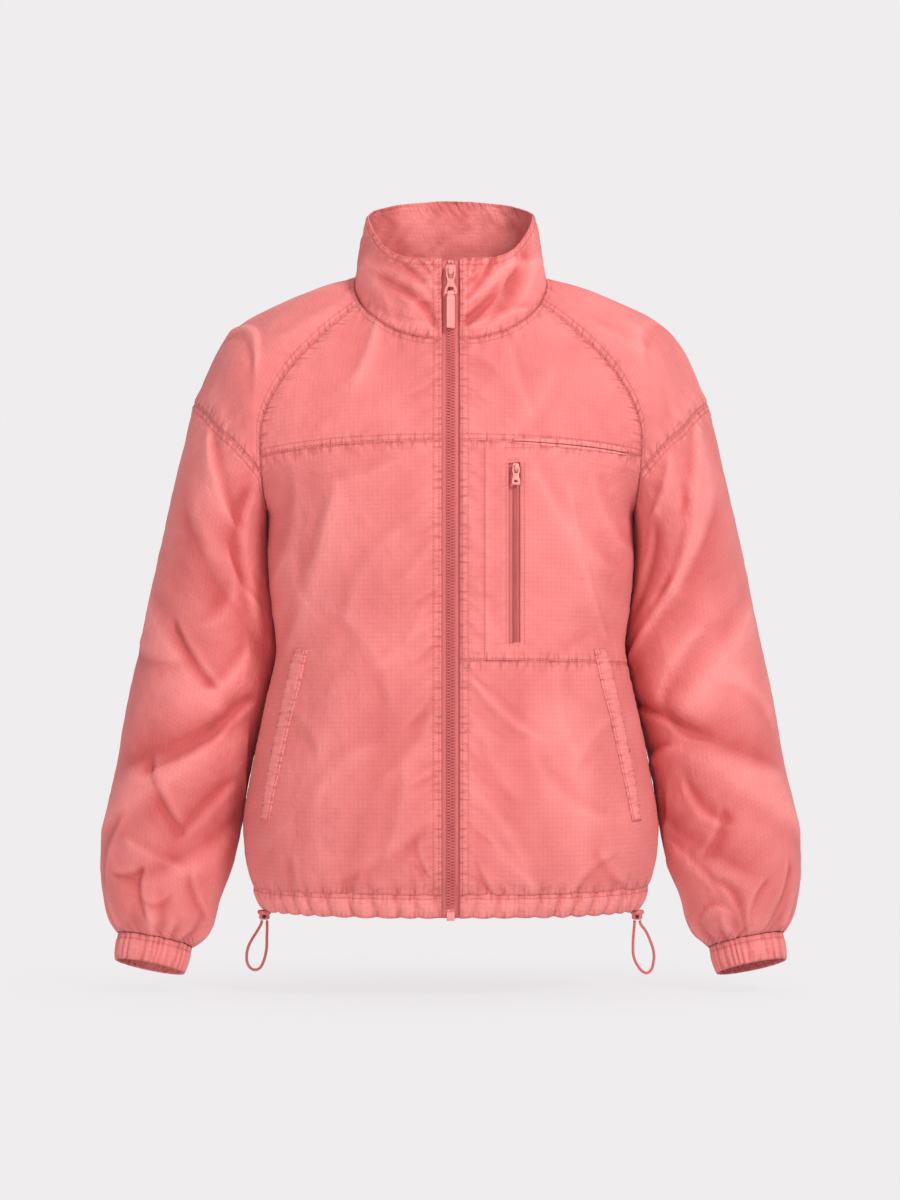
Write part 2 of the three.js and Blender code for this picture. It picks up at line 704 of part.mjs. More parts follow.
const zipHeights = [
  HEM_BOTTOM,
  ...Array.from({ length: ROW.neck + 1 }, (_, row) => read(BODY_ROWS, "frontMiddle", row)),
  ...steps(COLLAR_ROWS).slice(1).map((t) => THREE.MathUtils.lerp(NECK_FRONT, RIM.frontHeight, t)),
];

// A strip along the zip between two widths and two depths behind the fronts' outer face.
function zipStrip(x1, x2, front, back, from, to) {
  const heights = [from, ...zipHeights.filter((z) => z > from + 1 && z < to - 1), to];
  const layer = (depth) => heights.map((z) => [x1, x2].map((x) => vector(x, frontLine(z) + depth, z)));
  return wallBetween(layer(front), layer(back));
}
const tapeTop = RIM.frontHeight - 1;
for (const [where, x1, x2] of [["left", -ZIP.tapeTo, -ZIP.tapeFrom], ["right", ZIP.tapeFrom, ZIP.tapeTo]])
  addMesh("zip_tape_" + where,
    zipStrip(x1, x2, TAPE.under, TAPE.under + TAPE.thick, HEM_BOTTOM, tapeTop), CLOTH);
addMesh("zip_chain",
  zipStrip(-ZIP.chainHalf, ZIP.chainHalf, CHAIN.front, CHAIN.back, ZIP.boxTop + SEAM_GAP, ZIP.top), TRIM);
const END = { lip: 1.2, boxDepth: 3.2, stopHalf: 2.6, stopLip: 0.4, stopDepth: 2.6, stopTop: 4.2 };
const hemFront = frontLine(HEM_BOTTOM);
addMesh("zip_box",
  box(-ZIP.chainHalf, ZIP.chainHalf, hemFront - END.lip, hemFront + END.boxDepth, ZIP.boxBottom, ZIP.boxTop),
  TRIM);
const rimFront = frontLine(ZIP.top);
addMesh("zip_top_stop",
  box(-END.stopHalf, END.stopHalf, rimFront - END.stopLip, rimFront + END.stopDepth,
    ZIP.top + SEAM_GAP, ZIP.top + END.stopTop),
  TRIM);

// Sliders with a bridge, whose pull turns on its own top bar inside the bridge.
// In a slider's own axes the bar's middle is the origin, +y points into the cloth and +z up.
const MAIN_PULL = {
  bodyWidth: 10.6, bodyFoot: 8, bodyHeight: 13, bodyDepth: 3.2, bridgeWidth: 4.2, bridgeBar: 1.2,
  bar: 1.6, ringWidth: 5.4, ringDrop: 7.4, topWidth: 9.8, waist: 7, footWidth: 12.6, length: 23.4,
  eyeWidth: 8.6, eyeTop: 16.6, eyeBar: 1.8,
};
const CHEST_PULL = {
  bodyWidth: 7, bodyFoot: 5.6, bodyHeight: 9, bodyDepth: 2.2, bridgeWidth: 2.6, bridgeBar: 0.9,
  bar: 1.2, ringWidth: 3.6, ringDrop: 5.6, topWidth: 7.4, waist: 6, footWidth: 8.2, length: 17.4,
  eyeWidth: 3.4, eyeTop: 12.2, eyeBar: 2.4,
};
const windowHalf = (pull) => (pull.bar * Math.SQRT2) / 2 + 0.35;

function sliderGeometry(pull) {
  const half = windowHalf(pull);
  const outer = half + pull.bridgeBar;
  const [wide, narrow, high] = [pull.bodyWidth / 2, pull.bodyFoot / 2, pull.bodyHeight / 2];
  const outline = new THREE.Shape()
    .moveTo(-narrow, -high)
    .lineTo(narrow, -high)
    .lineTo(wide, high * 0.5)
    .quadraticCurveTo(wide, high, wide * 0.55, high)
    .lineTo(-wide * 0.55, high)
    .quadraticCurveTo(-wide, high, -wide, high * 0.5)
    .closePath();
  const body = flatPlate(outline, pull.bodyDepth).translate(0, half + pull.bodyDepth / 2, 0);
  const bridge = new THREE.Shape(rectangle(-outer, outer, -outer, half + pull.bridgeBar / 2));
  bridge.holes.push(new THREE.Path(rectangle(-half, half, -half, half)));
  return join(body, crossBar(bridge, pull.bridgeWidth));
}

function pullGeometry(pull) {
  const [top, waist, foot] = [pull.topWidth / 2, pull.waist / 2, pull.footWidth / 2];
  const ring = pull.ringWidth / 2;
  const end = -pull.length + pull.bar / 2;
  const outline = new THREE.Shape()
    .moveTo(-foot * 0.8, end)
    .lineTo(foot * 0.8, end)
    .quadraticCurveTo(foot, end, foot, end + foot * 0.3)
    .quadraticCurveTo(foot, -pull.eyeTop + 1, waist, -pull.eyeTop + 3.5)
    .lineTo(waist, -pull.ringDrop)
    .lineTo(top, -pull.ringDrop * 0.6)
    .lineTo(top, -pull.bar)
    .quadraticCurveTo(top, pull.bar / 2, ring * 0.8, pull.bar / 2)
    .lineTo(-ring * 0.8, pull.bar / 2)
    .quadraticCurveTo(-top, pull.bar / 2, -top, -pull.bar)
    .lineTo(-top, -pull.ringDrop * 0.6)
    .lineTo(-waist, -pull.ringDrop)
    .lineTo(-waist, -pull.eyeTop + 3.5)
    .quadraticCurveTo(-foot, -pull.eyeTop + 1, -foot, end + foot * 0.3)
    .quadraticCurveTo(-foot, end, -foot * 0.8, end);
  const eye = pull.eyeWidth / 2;
  const plate = flatPlate(outline, pull.bar);
  const ringed = cut(plate, box(-ring, ring, -pull.bar, pull.bar, -pull.ringDrop, -pull.bar / 2));
  return cut(ringed, box(-eye, eye, -pull.bar, pull.bar, end + pull.eyeBar, -pull.eyeTop));
}

// The soft tab's ring goes round the lower bar of the pull's eye; its own origin is that bar.
const TAB = { width: 8, thick: 1.8, length: 34, top: 1.9, ringWidth: 6.4, ringIn: 1.55, ringOut: 2.5 };
function tabGeometry() {
  const ring = new THREE.Shape().absarc(0, 0, TAB.ringOut, 0, 2 * Math.PI);
  ring.holes.push(new THREE.Path().absarc(0, 0, TAB.ringIn, 0, 2 * Math.PI));
  const plate = box(-TAB.width / 2, TAB.width / 2, -TAB.thick / 2, TAB.thick / 2, -TAB.length, -TAB.top);
  return join(crossBar(ring, TAB.ringWidth), plate);
}

// Lays a slider's axes on the cloth: x along it, y into it and z up it.
function layOn(object, { place, right, inward, upward }, offset, drop) {
  const turn = new THREE.Matrix4().makeBasis(right, inward, upward);
  object.quaternion.setFromRotationMatrix(turn);
  object.position.copy(place).addScaledVector(inward, offset).addScaledVector(upward, drop);
  return object;
}

function zipFrame(z) {
  const upward = vector(0, frontLine(z + 5) - frontLine(z - 5), 10).normalize();
  const right = vector(1, 0, 0);
  return { place: vector(0, frontLine(z), z), right, inward: upward.clone().cross(right), upward };
}

// A place on the right front's smooth surface, with its own axes, found from its x and z.
function frontFrame(x, z) {
  let [row, share] = [ROW.armpit, 0.5];
  const at = (r, s) => bodyPoint("front", r, s);
  const nudge = 1e-3;
  for (let turn = 0; turn < 24; turn += 1) {
    const here = at(row, share);
    const acrossStep = at(row, share + nudge).x - here.x;
    const upStep = at(row + nudge, share).z - here.z;
    share += ((x - here.x) * nudge) / acrossStep;
    row += ((z - here.z) * nudge) / upStep;
    share = THREE.MathUtils.clamp(share, 0.005, 0.99);
    row = THREE.MathUtils.clamp(row, 0.01, ROW.neck - 0.01);
  }
  const place = at(row, share);
  const right = at(row, share + nudge).sub(place).normalize();
  const upward = at(row + nudge, share).sub(place).projectOnPlane(right).normalize();
  return { place, right, inward: upward.clone().cross(right), upward };
}

// A thin plate of the front's own points, moved out between two depths.
function plateOnFront(rows, low, high, side = 1) {
  const layer = (depth) => rows.map((row) => row.map(([x, z]) => {
    const { place, inward } = frontFrame(x, z);
    return place.addScaledVector(inward, -depth).multiply(vector(side, 1, 1));
  }));
  return wallBetween(layer(high), layer(low), false, side < 0);
}

function addSlider(names, pull, frame, chainDepth, tab) {
  const offset = chainDepth - SEAM_GAP - pull.bodyDepth - windowHalf(pull);
  const [slider, hanging] = names;
  layOn(addMesh(slider, sliderGeometry(pull), TRIM), frame, offset, 0);
  layOn(addMesh(hanging, pullGeometry(pull), TRIM), frame, offset, 0);
  if (!tab) return;
  const eyeBar = -pull.length + (pull.bar + pull.eyeBar) / 2;
  layOn(addMesh(tab, tabGeometry(), TRIM), frame, offset, eyeBar);
}
const MAIN_SLIDER_AT = 11.5;
addSlider(["zip_slider", "zip_pull"], MAIN_PULL, zipFrame(MAIN_SLIDER_AT), CHAIN.front, "zip_tab");

// The chest pocket's zip, seen through a window cut in the panel.
const CHEST_ZIP = { x: 62.4, half: 6.6, top: -177, bottom: -352, tapeHalf: 9.6, chainHalf: 2.1,
  tapeUnder: WALL + 0.9 };
const CHEST_SLIDER_AT = -183;
const chestRows = (half, from, to) => steps(7).map((t) => {
  const z = THREE.MathUtils.lerp(from, to, t);
  return [-half, half].map((dx) => [CHEST_ZIP.x + dx, z]);
});
const chestPanel = jacket.getObjectByName("chest_panel_right");
const windowCut = box(
  CHEST_ZIP.x - CHEST_ZIP.half, CHEST_ZIP.x + CHEST_ZIP.half, -160, -60, CHEST_ZIP.bottom, CHEST_ZIP.top);
chestPanel.geometry = cut(chestPanel.geometry, windowCut);
addMesh("chest_zip_tape",
  plateOnFront(chestRows(CHEST_ZIP.tapeHalf, CHEST_ZIP.bottom - 4, CHEST_ZIP.top + 4),
    -CHEST_ZIP.tapeUnder - TAPE.thick, -CHEST_ZIP.tapeUnder), CLOTH);
addMesh("chest_zip_chain",
  plateOnFront(chestRows(CHEST_ZIP.chainHalf, CHEST_ZIP.bottom + 2, CHEST_ZIP.top - 2),
    -CHEST_ZIP.tapeUnder + SEAM_GAP, 0.3), TRIM);
addSlider(["chest_slider", "chest_pull"], CHEST_PULL,
  frontFrame(CHEST_ZIP.x, CHEST_SLIDER_AT), -0.3);

// The slit pocket's lips lie on each side of the right yoke seam, as shares of the seam's length.
const LIPS = { from: 0.24, to: 0.876, rows: 0.26, lift: 0.5, thick: 1 };
function lipGeometry(direction) {
  const rows = [0.03, LIPS.rows].map((step) => ROW.yoke + direction * step).sort((a, b) => a - b);
  const layer = (depth) => rows.map((row) => steps(9).map((t) => {
    const p = bodyPoint("front", row, THREE.MathUtils.lerp(LIPS.from, LIPS.to, t));
    const { place, inward } = frontFrame(p.x, p.z);
    return place.addScaledVector(inward, -depth);
  }));
  return wallBetween(layer(LIPS.lift + LIPS.thick), layer(LIPS.lift));
}
addMesh("yoke_welt_upper", lipGeometry(1), CLOTH);
addMesh("yoke_welt_lower", lipGeometry(-1), CLOTH);

// The hand pockets' welts: slanted strips, wider towards the top.
const WELT_LIFT = 1.6;
const HAND_WELT = columns("z outerX innerX", [
  [-526, 186, 176.5],
  [-497, 182.5, 170.7],
  [-466, 177, 164],
  [-425, 168.5, 155],
  [-393, 161.5, 146.5],
  [-358, 153, 139],
]);
const weltRows = steps(10).map((t) => {
  const z = THREE.MathUtils.lerp(-526, -358, t);
  const [inner, outer] = [read(HAND_WELT, "innerX", z), read(HAND_WELT, "outerX", z)];
  return steps(2).map((s) => [THREE.MathUtils.lerp(inner, outer, s), z]);
});
for (const [where, side] of [["left", -1], ["right", 1]])
  addMesh("hand_welt_" + where, plateOnFront(weltRows, WELT_LIFT, WELT_LIFT + WALL, side), CLOTH);

// The hem cord's locks hang at the front corners of the hem, and its loops hang from them.
const LOCK = { x: 185, y: -24, top: HEM_BOTTOM - 0.6, height: 9.6, capRadius: 6.9, radius: 5.4 };
const CORD = { radius: 1.4, steps: 26, sides: 8 };
function lockGeometry() {
  const { height, capRadius, radius } = LOCK;
  const profile = [[0, -height], [radius * 0.8, -height], [radius, -height * 0.8], [radius, -height * 0.45],
    [capRadius, -height * 0.35], [capRadius, -height * 0.1], [capRadius * 0.85, 0], [0, 0]];
  const points = profile.map(([r, h]) => new THREE.Vector2(r, h));
  return new THREE.LatheGeometry(points, 16).rotateX(Math.PI / 2);
}
// Loops by hand: x and z from the middle of the lock's lower face, down one strand and up the other.
const LOOPS = {
  left: [[-2.6, -1], [-2.8, -3], [-7.5, -12], [-12.5, -20], [-16.2, -28], [-17.6, -36], [-16.6, -44],
    [-12.6, -49], [-8.8, -50], [-5, -48.5], [-1.4, -43], [0.8, -36], [2.2, -28], [2.4, -18], [2.7, -8],
    [2.6, -1]],
  right: [[-2.4, -1], [-2.5, -4], [-3.4, -14], [-4, -26], [-3.2, -37], [0.8, -46], [6, -52], [9.2, -53.2],
    [13.6, -50.5], [16.2, -43], [16.6, -33], [13.4, -22], [8.4, -11], [3.4, -4], [2.9, -1]],
};
function cordGeometry(points, x) {
  const route = points.map(([dx, dz]) => vector(x + dx, LOCK.y, LOCK.top - LOCK.height + dz));
  const section = new THREE.Shape(steps(CORD.sides).slice(1).map((t) =>
    new THREE.Vector2(CORD.radius * Math.cos(2 * Math.PI * t), CORD.radius * Math.sin(2 * Math.PI * t))));
  const extrudePath = new THREE.CatmullRomCurve3(route);
  return new THREE.ExtrudeGeometry(section, { steps: CORD.steps, extrudePath, bevelEnabled: false });
}
for (const [where, side] of [["left", -1], ["right", 1]]) {
  const lock = addMesh("cord_lock_" + where, lockGeometry(), TRIM);
  lock.position.set(side * LOCK.x, LOCK.y, LOCK.top);
  addMesh("cord_loop_" + where, cordGeometry(LOOPS[where], side * LOCK.x), CLOTH);
}

export default jacket;
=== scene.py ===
# %% [markdown]
# # A zip-front utility jacket
# The jacket is light pink ripstop, worn by nobody: hollow, with a stand collar, raglan shoulders,
# dropped sleeves, gathered cuffs and a hem drawn in by an elastic cord.
# Each cloth panel is a fine grid laid on the same rings and seams as its solid, with its folds,
# gathers and seam puckers added. Sizes are in millimetres until a mesh is made.

# %% Frame
import json
import math

import bmesh
import bpy
import numpy as np
from mathutils import Matrix, Vector

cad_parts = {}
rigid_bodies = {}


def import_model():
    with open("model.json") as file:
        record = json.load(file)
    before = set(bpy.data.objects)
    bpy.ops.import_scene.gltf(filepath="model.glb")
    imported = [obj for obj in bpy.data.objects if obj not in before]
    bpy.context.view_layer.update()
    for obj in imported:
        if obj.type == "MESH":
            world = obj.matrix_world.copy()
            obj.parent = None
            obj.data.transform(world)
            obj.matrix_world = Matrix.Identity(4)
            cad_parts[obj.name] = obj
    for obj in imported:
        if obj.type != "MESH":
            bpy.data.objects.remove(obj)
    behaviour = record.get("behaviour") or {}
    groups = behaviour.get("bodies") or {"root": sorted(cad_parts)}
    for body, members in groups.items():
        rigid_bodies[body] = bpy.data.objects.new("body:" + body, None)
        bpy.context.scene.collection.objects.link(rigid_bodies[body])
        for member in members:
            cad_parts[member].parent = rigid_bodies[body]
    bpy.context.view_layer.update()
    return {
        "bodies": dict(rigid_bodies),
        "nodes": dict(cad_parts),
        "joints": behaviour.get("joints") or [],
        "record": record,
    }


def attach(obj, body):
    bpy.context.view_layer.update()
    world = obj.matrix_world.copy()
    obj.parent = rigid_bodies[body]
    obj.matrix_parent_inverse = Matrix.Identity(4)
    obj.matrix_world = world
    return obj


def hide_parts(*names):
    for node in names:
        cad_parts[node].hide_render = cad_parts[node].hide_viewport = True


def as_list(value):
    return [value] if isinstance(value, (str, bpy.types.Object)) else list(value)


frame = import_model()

MM = 0.001

# %% [markdown]
# The photograph was taken level with the middle of the jacket. The camera could be turned to frame
# it, but a level camera keeps upright seams upright. It stands far enough off that one pixel of the
# 900 by 1200 frame is one millimetre at the side seams, so places can be read off in millimetres.

# %% Camera
FRAME_PIXELS = (900, 1200)
CAMERA_DISTANCE = 3.4
CAMERA_HEIGHT = -0.31
CAMERA_SIDE = -0.0007


def add_camera():
    data = bpy.data.cameras.new("camera")
    data.sensor_width = 36
    data.lens = data.sensor_width * CAMERA_DISTANCE / (FRAME_PIXELS[1] * MM)
    camera = bpy.data.objects.new("camera", data)
    camera.location = (CAMERA_SIDE, -CAMERA_DISTANCE, CAMERA_HEIGHT)
    camera.rotation_euler = (math.pi / 2, 0, 0)
    bpy.context.scene.collection.objects.link(camera)
    bpy.context.scene.camera = camera


add_camera()
print("camera", CAMERA_DISTANCE, "m in front")

# %% [markdown]
# The hem is drawn in by an elastic cord that comes out of each lock as a loop and goes back into
# it. A mesh tube would do, but a curve keeps its own centre line, which is what a cord is measured
# on. Its points are the ones of its solid, x and z from the middle of the lock's lower face. The
# thickness is the radius of each point, since a point's radius is also what Blender measures by.

# %% Hem cord
LOCK = {"x": 185, "y": -24, "top": -617.6, "height": 9.6, "cap": 6.9, "radius": 5.4}
CORD_RADIUS = 1.4
LOOPS = {
    "left": [(-2.6, -1), (-2.8, -3), (-7.5, -12), (-12.5, -20), (-16.2, -28), (-17.6, -36), (-16.6, -44),
             (-12.6, -49), (-8.8, -50), (-5, -48.5), (-1.4, -43), (0.8, -36), (2.2, -28), (2.4, -18), (2.7, -8),
             (2.6, -1)],
    "right": [(-2.4, -1), (-2.5, -4), (-3.4, -14), (-4, -26), (-3.2, -37), (0.8, -46), (6, -52), (9.2, -53.2),
              (13.6, -50.5), (16.2, -43), (16.6, -33), (13.4, -22), (8.4, -11), (3.4, -4), (2.9, -1)],
}
SIDES = {"left": -1, "right": 1}


def add_cord(where):
    x = SIDES[where] * LOCK["x"]
    foot = LOCK["top"] - LOCK["height"]
    route = [Vector((x + dx, LOCK["y"], foot + dz)) * MM for dx, dz in LOOPS[where]]
    curve = bpy.data.curves.new("cord_" + where, "CURVE")
    curve.dimensions = "3D"
    curve.bevel_depth = 1
    curve.bevel_resolution = 4
    curve.resolution_u = 8
    spline = curve.splines.new("BEZIER")
    spline.bezier_points.add(len(route) - 1)
    for point, place in zip(spline.bezier_points, route):
        point.co = place
        point.radius = CORD_RADIUS * MM
        point.handle_left_type = point.handle_right_type = "AUTO"
    cord = bpy.data.objects.new("hem_cord_" + where, curve)
    bpy.context.scene.collection.objects.link(cord)
    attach(cord, "jacket")
    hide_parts("cord_loop_" + where)
    return cord


cords = [add_cord(where) for where in SIDES]

# %% [markdown]
# A cutter works from a few measures, and so does this jacket: heights of the seams, widths and
# depths of the body at each height, the seams over the shoulder, and the rings of the sleeve. They
# are the sizes that the solids are made from, so the cloth lies on its solid without being fitted.

# %% Sizes of the cut
WALL = 0.9
ZIP_EDGE = 8.8
HEM_BOTTOM, HEM_SEAM = -617, -594
POCKET_SEAM_SIDE, ARMPIT = -375, -224
NECK_FRONT, NECK_BACK = -54, 20
ROW = {"hem": 0, "pocket": 6, "armpit": 10, "point": 14, "yoke": 15, "neck": 22}
SHOULDER_ROWS = ROW["neck"] - ROW["point"]
SHOULDER_TURN = 80
NECK = {"half_width": 95.5, "front": 74, "back": 62, "side": 6}
RAGLAN_AT = {"front": 69, "back": 130}
RIM = {"half_width": 83, "front": 71, "back": 66, "front_height": 25, "side_height": 74, "back_height": 96}
SLEEVE_TOP, SLEEVE_END, CUFF_END = -172, -648.5, -674.5


def table(names, rows):
    """The columns of a table by name, as arrays."""
    return dict(zip(names.split(), np.array(rows, float).T))


TORSO = table("at half_width front back", [
    (-617, 188, 121, 112), (-594, 197, 128, 118), (-580, 202, 134, 123), (-555, 206, 138, 127),
    (-530, 207, 140, 128), (-477, 198, 138, 124), (-410, 184, 133, 117), (-360, 174, 130, 113),
    (-310, 179.5, 129, 115), (-270, 183, 129.5, 120), (-224, 182, 129, 125), (-170, 186, 121.5, 127),
    (-120, 186, 106, 124), (-54, 186, 74, 108), (20, 186, 74, 62),
])
BODY_ROWS = table("at front_middle back_middle turn squareness", [
    (0, -594, -594, 90, 2.3), (6, -368, -375, 90, 2.3), (10, -236, -236, 90, 2.25),
    (14, -170, -168, 62, 2.1), (15, -156, -146, 58, 2.05), (18, -112, -70, 60, 2), (22, -54, 20, 69, 2),
])
UNDERARM = {
    "front": [(182, 0, -224), (182.6, -28, -220), (184, -56, -206), (185.5, -76, -185)],
    "back": [(182, 0, -224), (182.6, 30, -219), (184, 58, -202), (185.5, 76, -178)],
}
RAGLAN = {
    "front": [(185.5, -76, -185), (185.8, -81, -170), (186, -84.5, -149), (183.5, -85.5, -134),
              (176.5, -84, -115), (159.5, -78, -86), (138.5, -66, -61), (114.5, -48, -37)],
    "back": [(185.5, 76, -178), (187, 82, -162), (186, 87, -140), (176, 90, -108), (154, 86, -70),
             (124, 73, -32), (97, 56, 0)],
}
DROP_SEAM = [
    (185.5, -76, -185), (199, -82, -168.5), (212, -79, -154.5), (227, -67, -142), (240, -46, -127),
    (252, -22, -117), (256.5, 2, -114), (254, 26, -117), (245, 48, -125), (231, 66, -138),
    (215, 78, -150), (200, 82, -163), (185.5, 76, -178),
]
SHOULDER_TOP = [
    (256.5, 2, -114), (246, 3, -88), (235, 4, -64), (222, 5, -46), (207, 5, -34), (188, 5, -24),
    (160, 5, -12), (127, 4, 0), (95.5, 0, 6),
]
SLEEVE = table("at x y half_width half_depth tilt tip", [
    (-648.5, 294, -14, 38, 36, 11, 13), (-643, 292.7, -13, 43, 41, 11, 13),
    (-635, 291.4, -11, 49.6, 47, 11, 12), (-622, 290.4, -8, 55.3, 53, 11, 10),
    (-595, 289.5, -2, 61.1, 60, 11, 7), (-560, 282.7, 4, 67.2, 65, 11, 4),
    (-525, 276, 10, 68, 68, 11, 1), (-480, 268.4, 16, 66.7, 71, 11, 0), (-430, 259, 22, 68, 74, 12, 0),
    (-380, 247.6, 25, 69, 76, 13, 0), (-340, 240.4, 25, 67.4, 78, 15, 0), (-300, 237, 21, 63, 80, 19, 0),
    (-260, 234, 13, 58, 82, 27, 0), (-220, 229.5, 6, 56.4, 83, 38, 0), (-172, 220, 2, 60, 82, 50, 0),
])
CUFF = table("at x y half_width half_depth tilt tip", [
    (-674.5, 299, -20.5, 34.6, 33, 11, 14), (-648.5, 294, -14, 36.5, 34.5, 11, 13),
])
print("body from", HEM_BOTTOM, "to", NECK_BACK, "mm, armpit at", ARMPIT, "mm")

# %% [markdown]
# Cloth has no corners between its measures. A column of a table is read on a smooth curve through
# its rows. A seam is a curve through its points that can be read at any share of its length, so
# that the two cloths that meet on it have the same points.

# %% Reading tables and seams


def read(rows, column, at):
    """A column at a value of the first one, on a smooth curve through the rows."""
    keys, values = rows["at"], rows[column]
    at = np.clip(np.asarray(at, float), keys[0], keys[-1])
    k = np.clip(np.searchsorted(keys, at, side="right") - 1, 0, len(keys) - 2)
    low, high = np.maximum(np.arange(len(keys)) - 1, 0), np.minimum(np.arange(len(keys)) + 1, len(keys) - 1)
    slopes = (values[high] - values[low]) / (keys[high] - keys[low])
    span = keys[k + 1] - keys[k]
    t = (at - keys[k]) / span
    return ((2 * t**3 - 3 * t**2 + 1) * values[k] + (t**3 - 2 * t**2 + t) * slopes[k] * span
            + (3 * t**2 - 2 * t**3) * values[k + 1] + (t**3 - t**2) * slopes[k + 1] * span)


class Seam:
    """A centripetal curve through points, read at a share of its length."""

    def __init__(self, points, per_span=24):
        p = np.array(points, float)
        p = np.vstack([2 * p[0] - p[1], p, 2 * p[-1] - p[-2]])
        steps = np.maximum(np.linalg.norm(np.diff(p, axis=0), axis=1) ** 0.5, 1e-4)
        line = [p[1]]
        for k in range(1, len(p) - 2):
            a, b, c = steps[k - 1:k + 2]
            start = ((p[k] - p[k - 1]) / a - (p[k + 1] - p[k - 1]) / (a + b) + (p[k + 1] - p[k]) / b) * b
            end = ((p[k + 1] - p[k]) / b - (p[k + 2] - p[k]) / (b + c) + (p[k + 2] - p[k + 1]) / c) * b
            t = np.linspace(0, 1, per_span + 1)[1:, None]
            line += list(p[k] + start * t + (3 * (p[k + 1] - p[k]) - 2 * start - end) * t**2
                         + (2 * (p[k] - p[k + 1]) + start + end) * t**3)
        self.line = np.array(line)
        gaps = np.linalg.norm(np.diff(self.line, axis=0), axis=1)
        self.lengths = np.append(0, np.cumsum(gaps)) / gaps.sum()

    def at(self, share):
        share = np.asarray(share, float)
        return np.stack([np.interp(share, self.lengths, self.line[:, axis]) for axis in range(3)], -1)


# %% [markdown]
# Each piece of cloth is a surface with two shares, one up and one across, from 0 to 1 or by rows.
# Body panels run between the middle, the side and the shoulder seams. Sleeves and cuffs are rings.
# The collar rises from the neck's seam to its rim. Neighbours are read from the same seams.

# %% Where the cloth lies


def xyz(x, y, z):
    return np.stack(np.broadcast_arrays(x, y, z), -1)


def neck_point(angle):
    """The neck seam: angle 0 is the front, 90 the side, 180 the back."""
    c = np.cos(np.radians(angle))
    drop, rise = NECK["side"] - NECK_FRONT, NECK_BACK - NECK["side"]
    front = NECK["side"] - drop * (0.87 * c + 0.38 * c**2 - 0.25 * c**3)
    back = NECK["side"] + rise * (1 - (1 + c) ** 3)
    depth = np.where(c > 0, NECK["front"], NECK["back"])
    return xyz(NECK["half_width"] * np.sin(np.radians(angle)), -depth * c, np.where(c > 0, front, back))


def rim_point(angle):
    """The collar's rim over the same angles."""
    c = np.cos(np.radians(angle))
    x = np.maximum(RIM["half_width"] * np.sin(np.radians(angle)), ZIP_EDGE * (c > 0.9))
    dip = RIM["side_height"] - RIM["front_height"]
    front = RIM["side_height"] - dip * np.sin(np.pi / 2 * np.maximum(c, 0)) ** 1.8
    back = RIM["side_height"] - (RIM["back_height"] - RIM["side_height"]) * c
    depth = np.where(c > 0, RIM["front"], RIM["back"])
    return xyz(x, -depth * c, np.where(c > 0, front, back))


underarm = {half: Seam(points) for half, points in UNDERARM.items()}
raglan = {half: Seam(points[1:] + [tuple(neck_point(RAGLAN_AT[half]))]) for half, points in RAGLAN.items()}
drop_seam = Seam(DROP_SEAM)
shoulder_top = Seam(SHOULDER_TOP)


def edge_point(half, row):
    """A row's outer edge: side seam, then armhole, then raglan seam."""
    row = np.asarray(row, float)
    z = np.interp(row, [0, ROW["pocket"], ROW["armpit"]], [HEM_SEAM, POCKET_SEAM_SIDE, ARMPIT])
    side = xyz(read(TORSO, "half_width", z), 0, z)
    arm = underarm[half].at((row - ROW["armpit"]) / (ROW["point"] - ROW["armpit"]))
    first = raglan[half].at(0)
    short = underarm[half].at(1) + (first - underarm[half].at(1)) * np.clip(row - ROW["point"], 0, 1)[..., None]
    upper = raglan[half].at((row - ROW["yoke"]) / (ROW["neck"] - ROW["yoke"]))
    made = np.where((row <= ROW["armpit"])[..., None], side, arm)
    made = np.where((row > ROW["point"])[..., None], short, made)
    return np.where((row > ROW["yoke"])[..., None], upper, made)


def turned(share, turn, squareness):
    """How far along x, and how far back, a row has gone at a share of its turn."""
    power, angle = 2 / squareness, np.radians(turn)

    def cosine(a):
        return np.maximum(np.cos(a), 0) ** power

    across = (np.sin(share * angle) / np.sin(angle)) ** power
    return across, (1 - cosine(share * angle)) / (1 - cosine(angle))


def body_point(half, row, share):
    edge = edge_point(half, row)
    middle = read(BODY_ROWS, half + "_middle", row)
    depth = read(TORSO, half, middle)
    start = xyz(ZIP_EDGE, -depth, middle) if half == "front" else xyz(0, depth, middle)
    across, back = turned(share, read(BODY_ROWS, "turn", row), read(BODY_ROWS, "squareness", row))
    return start + (edge - start) * np.stack([across, back, back], -1)


def shoulder_arch(row, share):
    top = shoulder_top.at(row / SHOULDER_ROWS)
    front, back = (edge_point(half, ROW["point"] + row) for half in ("front", "back"))
    foot = np.where((share < 0.5)[..., None], front, back)
    angle, full = np.radians(SHOULDER_TURN * np.abs(1 - 2 * share)), np.radians(SHOULDER_TURN)
    out, down = np.sin(angle) / np.sin(full), (1 - np.cos(angle)) / (1 - np.cos(full))
    return top + (foot - top) * np.stack([down, out, down], -1)


def shoulder_point(row, share):
    to_neck = (row / SHOULDER_ROWS)[..., None]
    neck = neck_point(RAGLAN_AT["front"] + (RAGLAN_AT["back"] - RAGLAN_AT["front"]) * share)
    at_seam = drop_seam.at(share) - shoulder_arch(0 * row, share)
    at_neck = neck - shoulder_arch(0 * row + SHOULDER_ROWS, share)
    return shoulder_arch(row, share) + at_seam * (1 - to_neck) + at_neck * to_neck


def ring_point(rows, z, angle):
    """A point of a sleeve's ring: angle 0 is its outer side, a quarter turn its front."""
    tilt, tip = (np.radians(read(rows, name, z)) for name in ("tilt", "tip"))
    out = read(rows, "half_width", z) * np.cos(angle)
    forward = read(rows, "half_depth", z) * np.sin(angle)
    return xyz(read(rows, "x", z) + out * np.cos(tilt), read(rows, "y", z) - forward * np.cos(tip),
               z + out * np.sin(tilt) + forward * np.sin(tip))


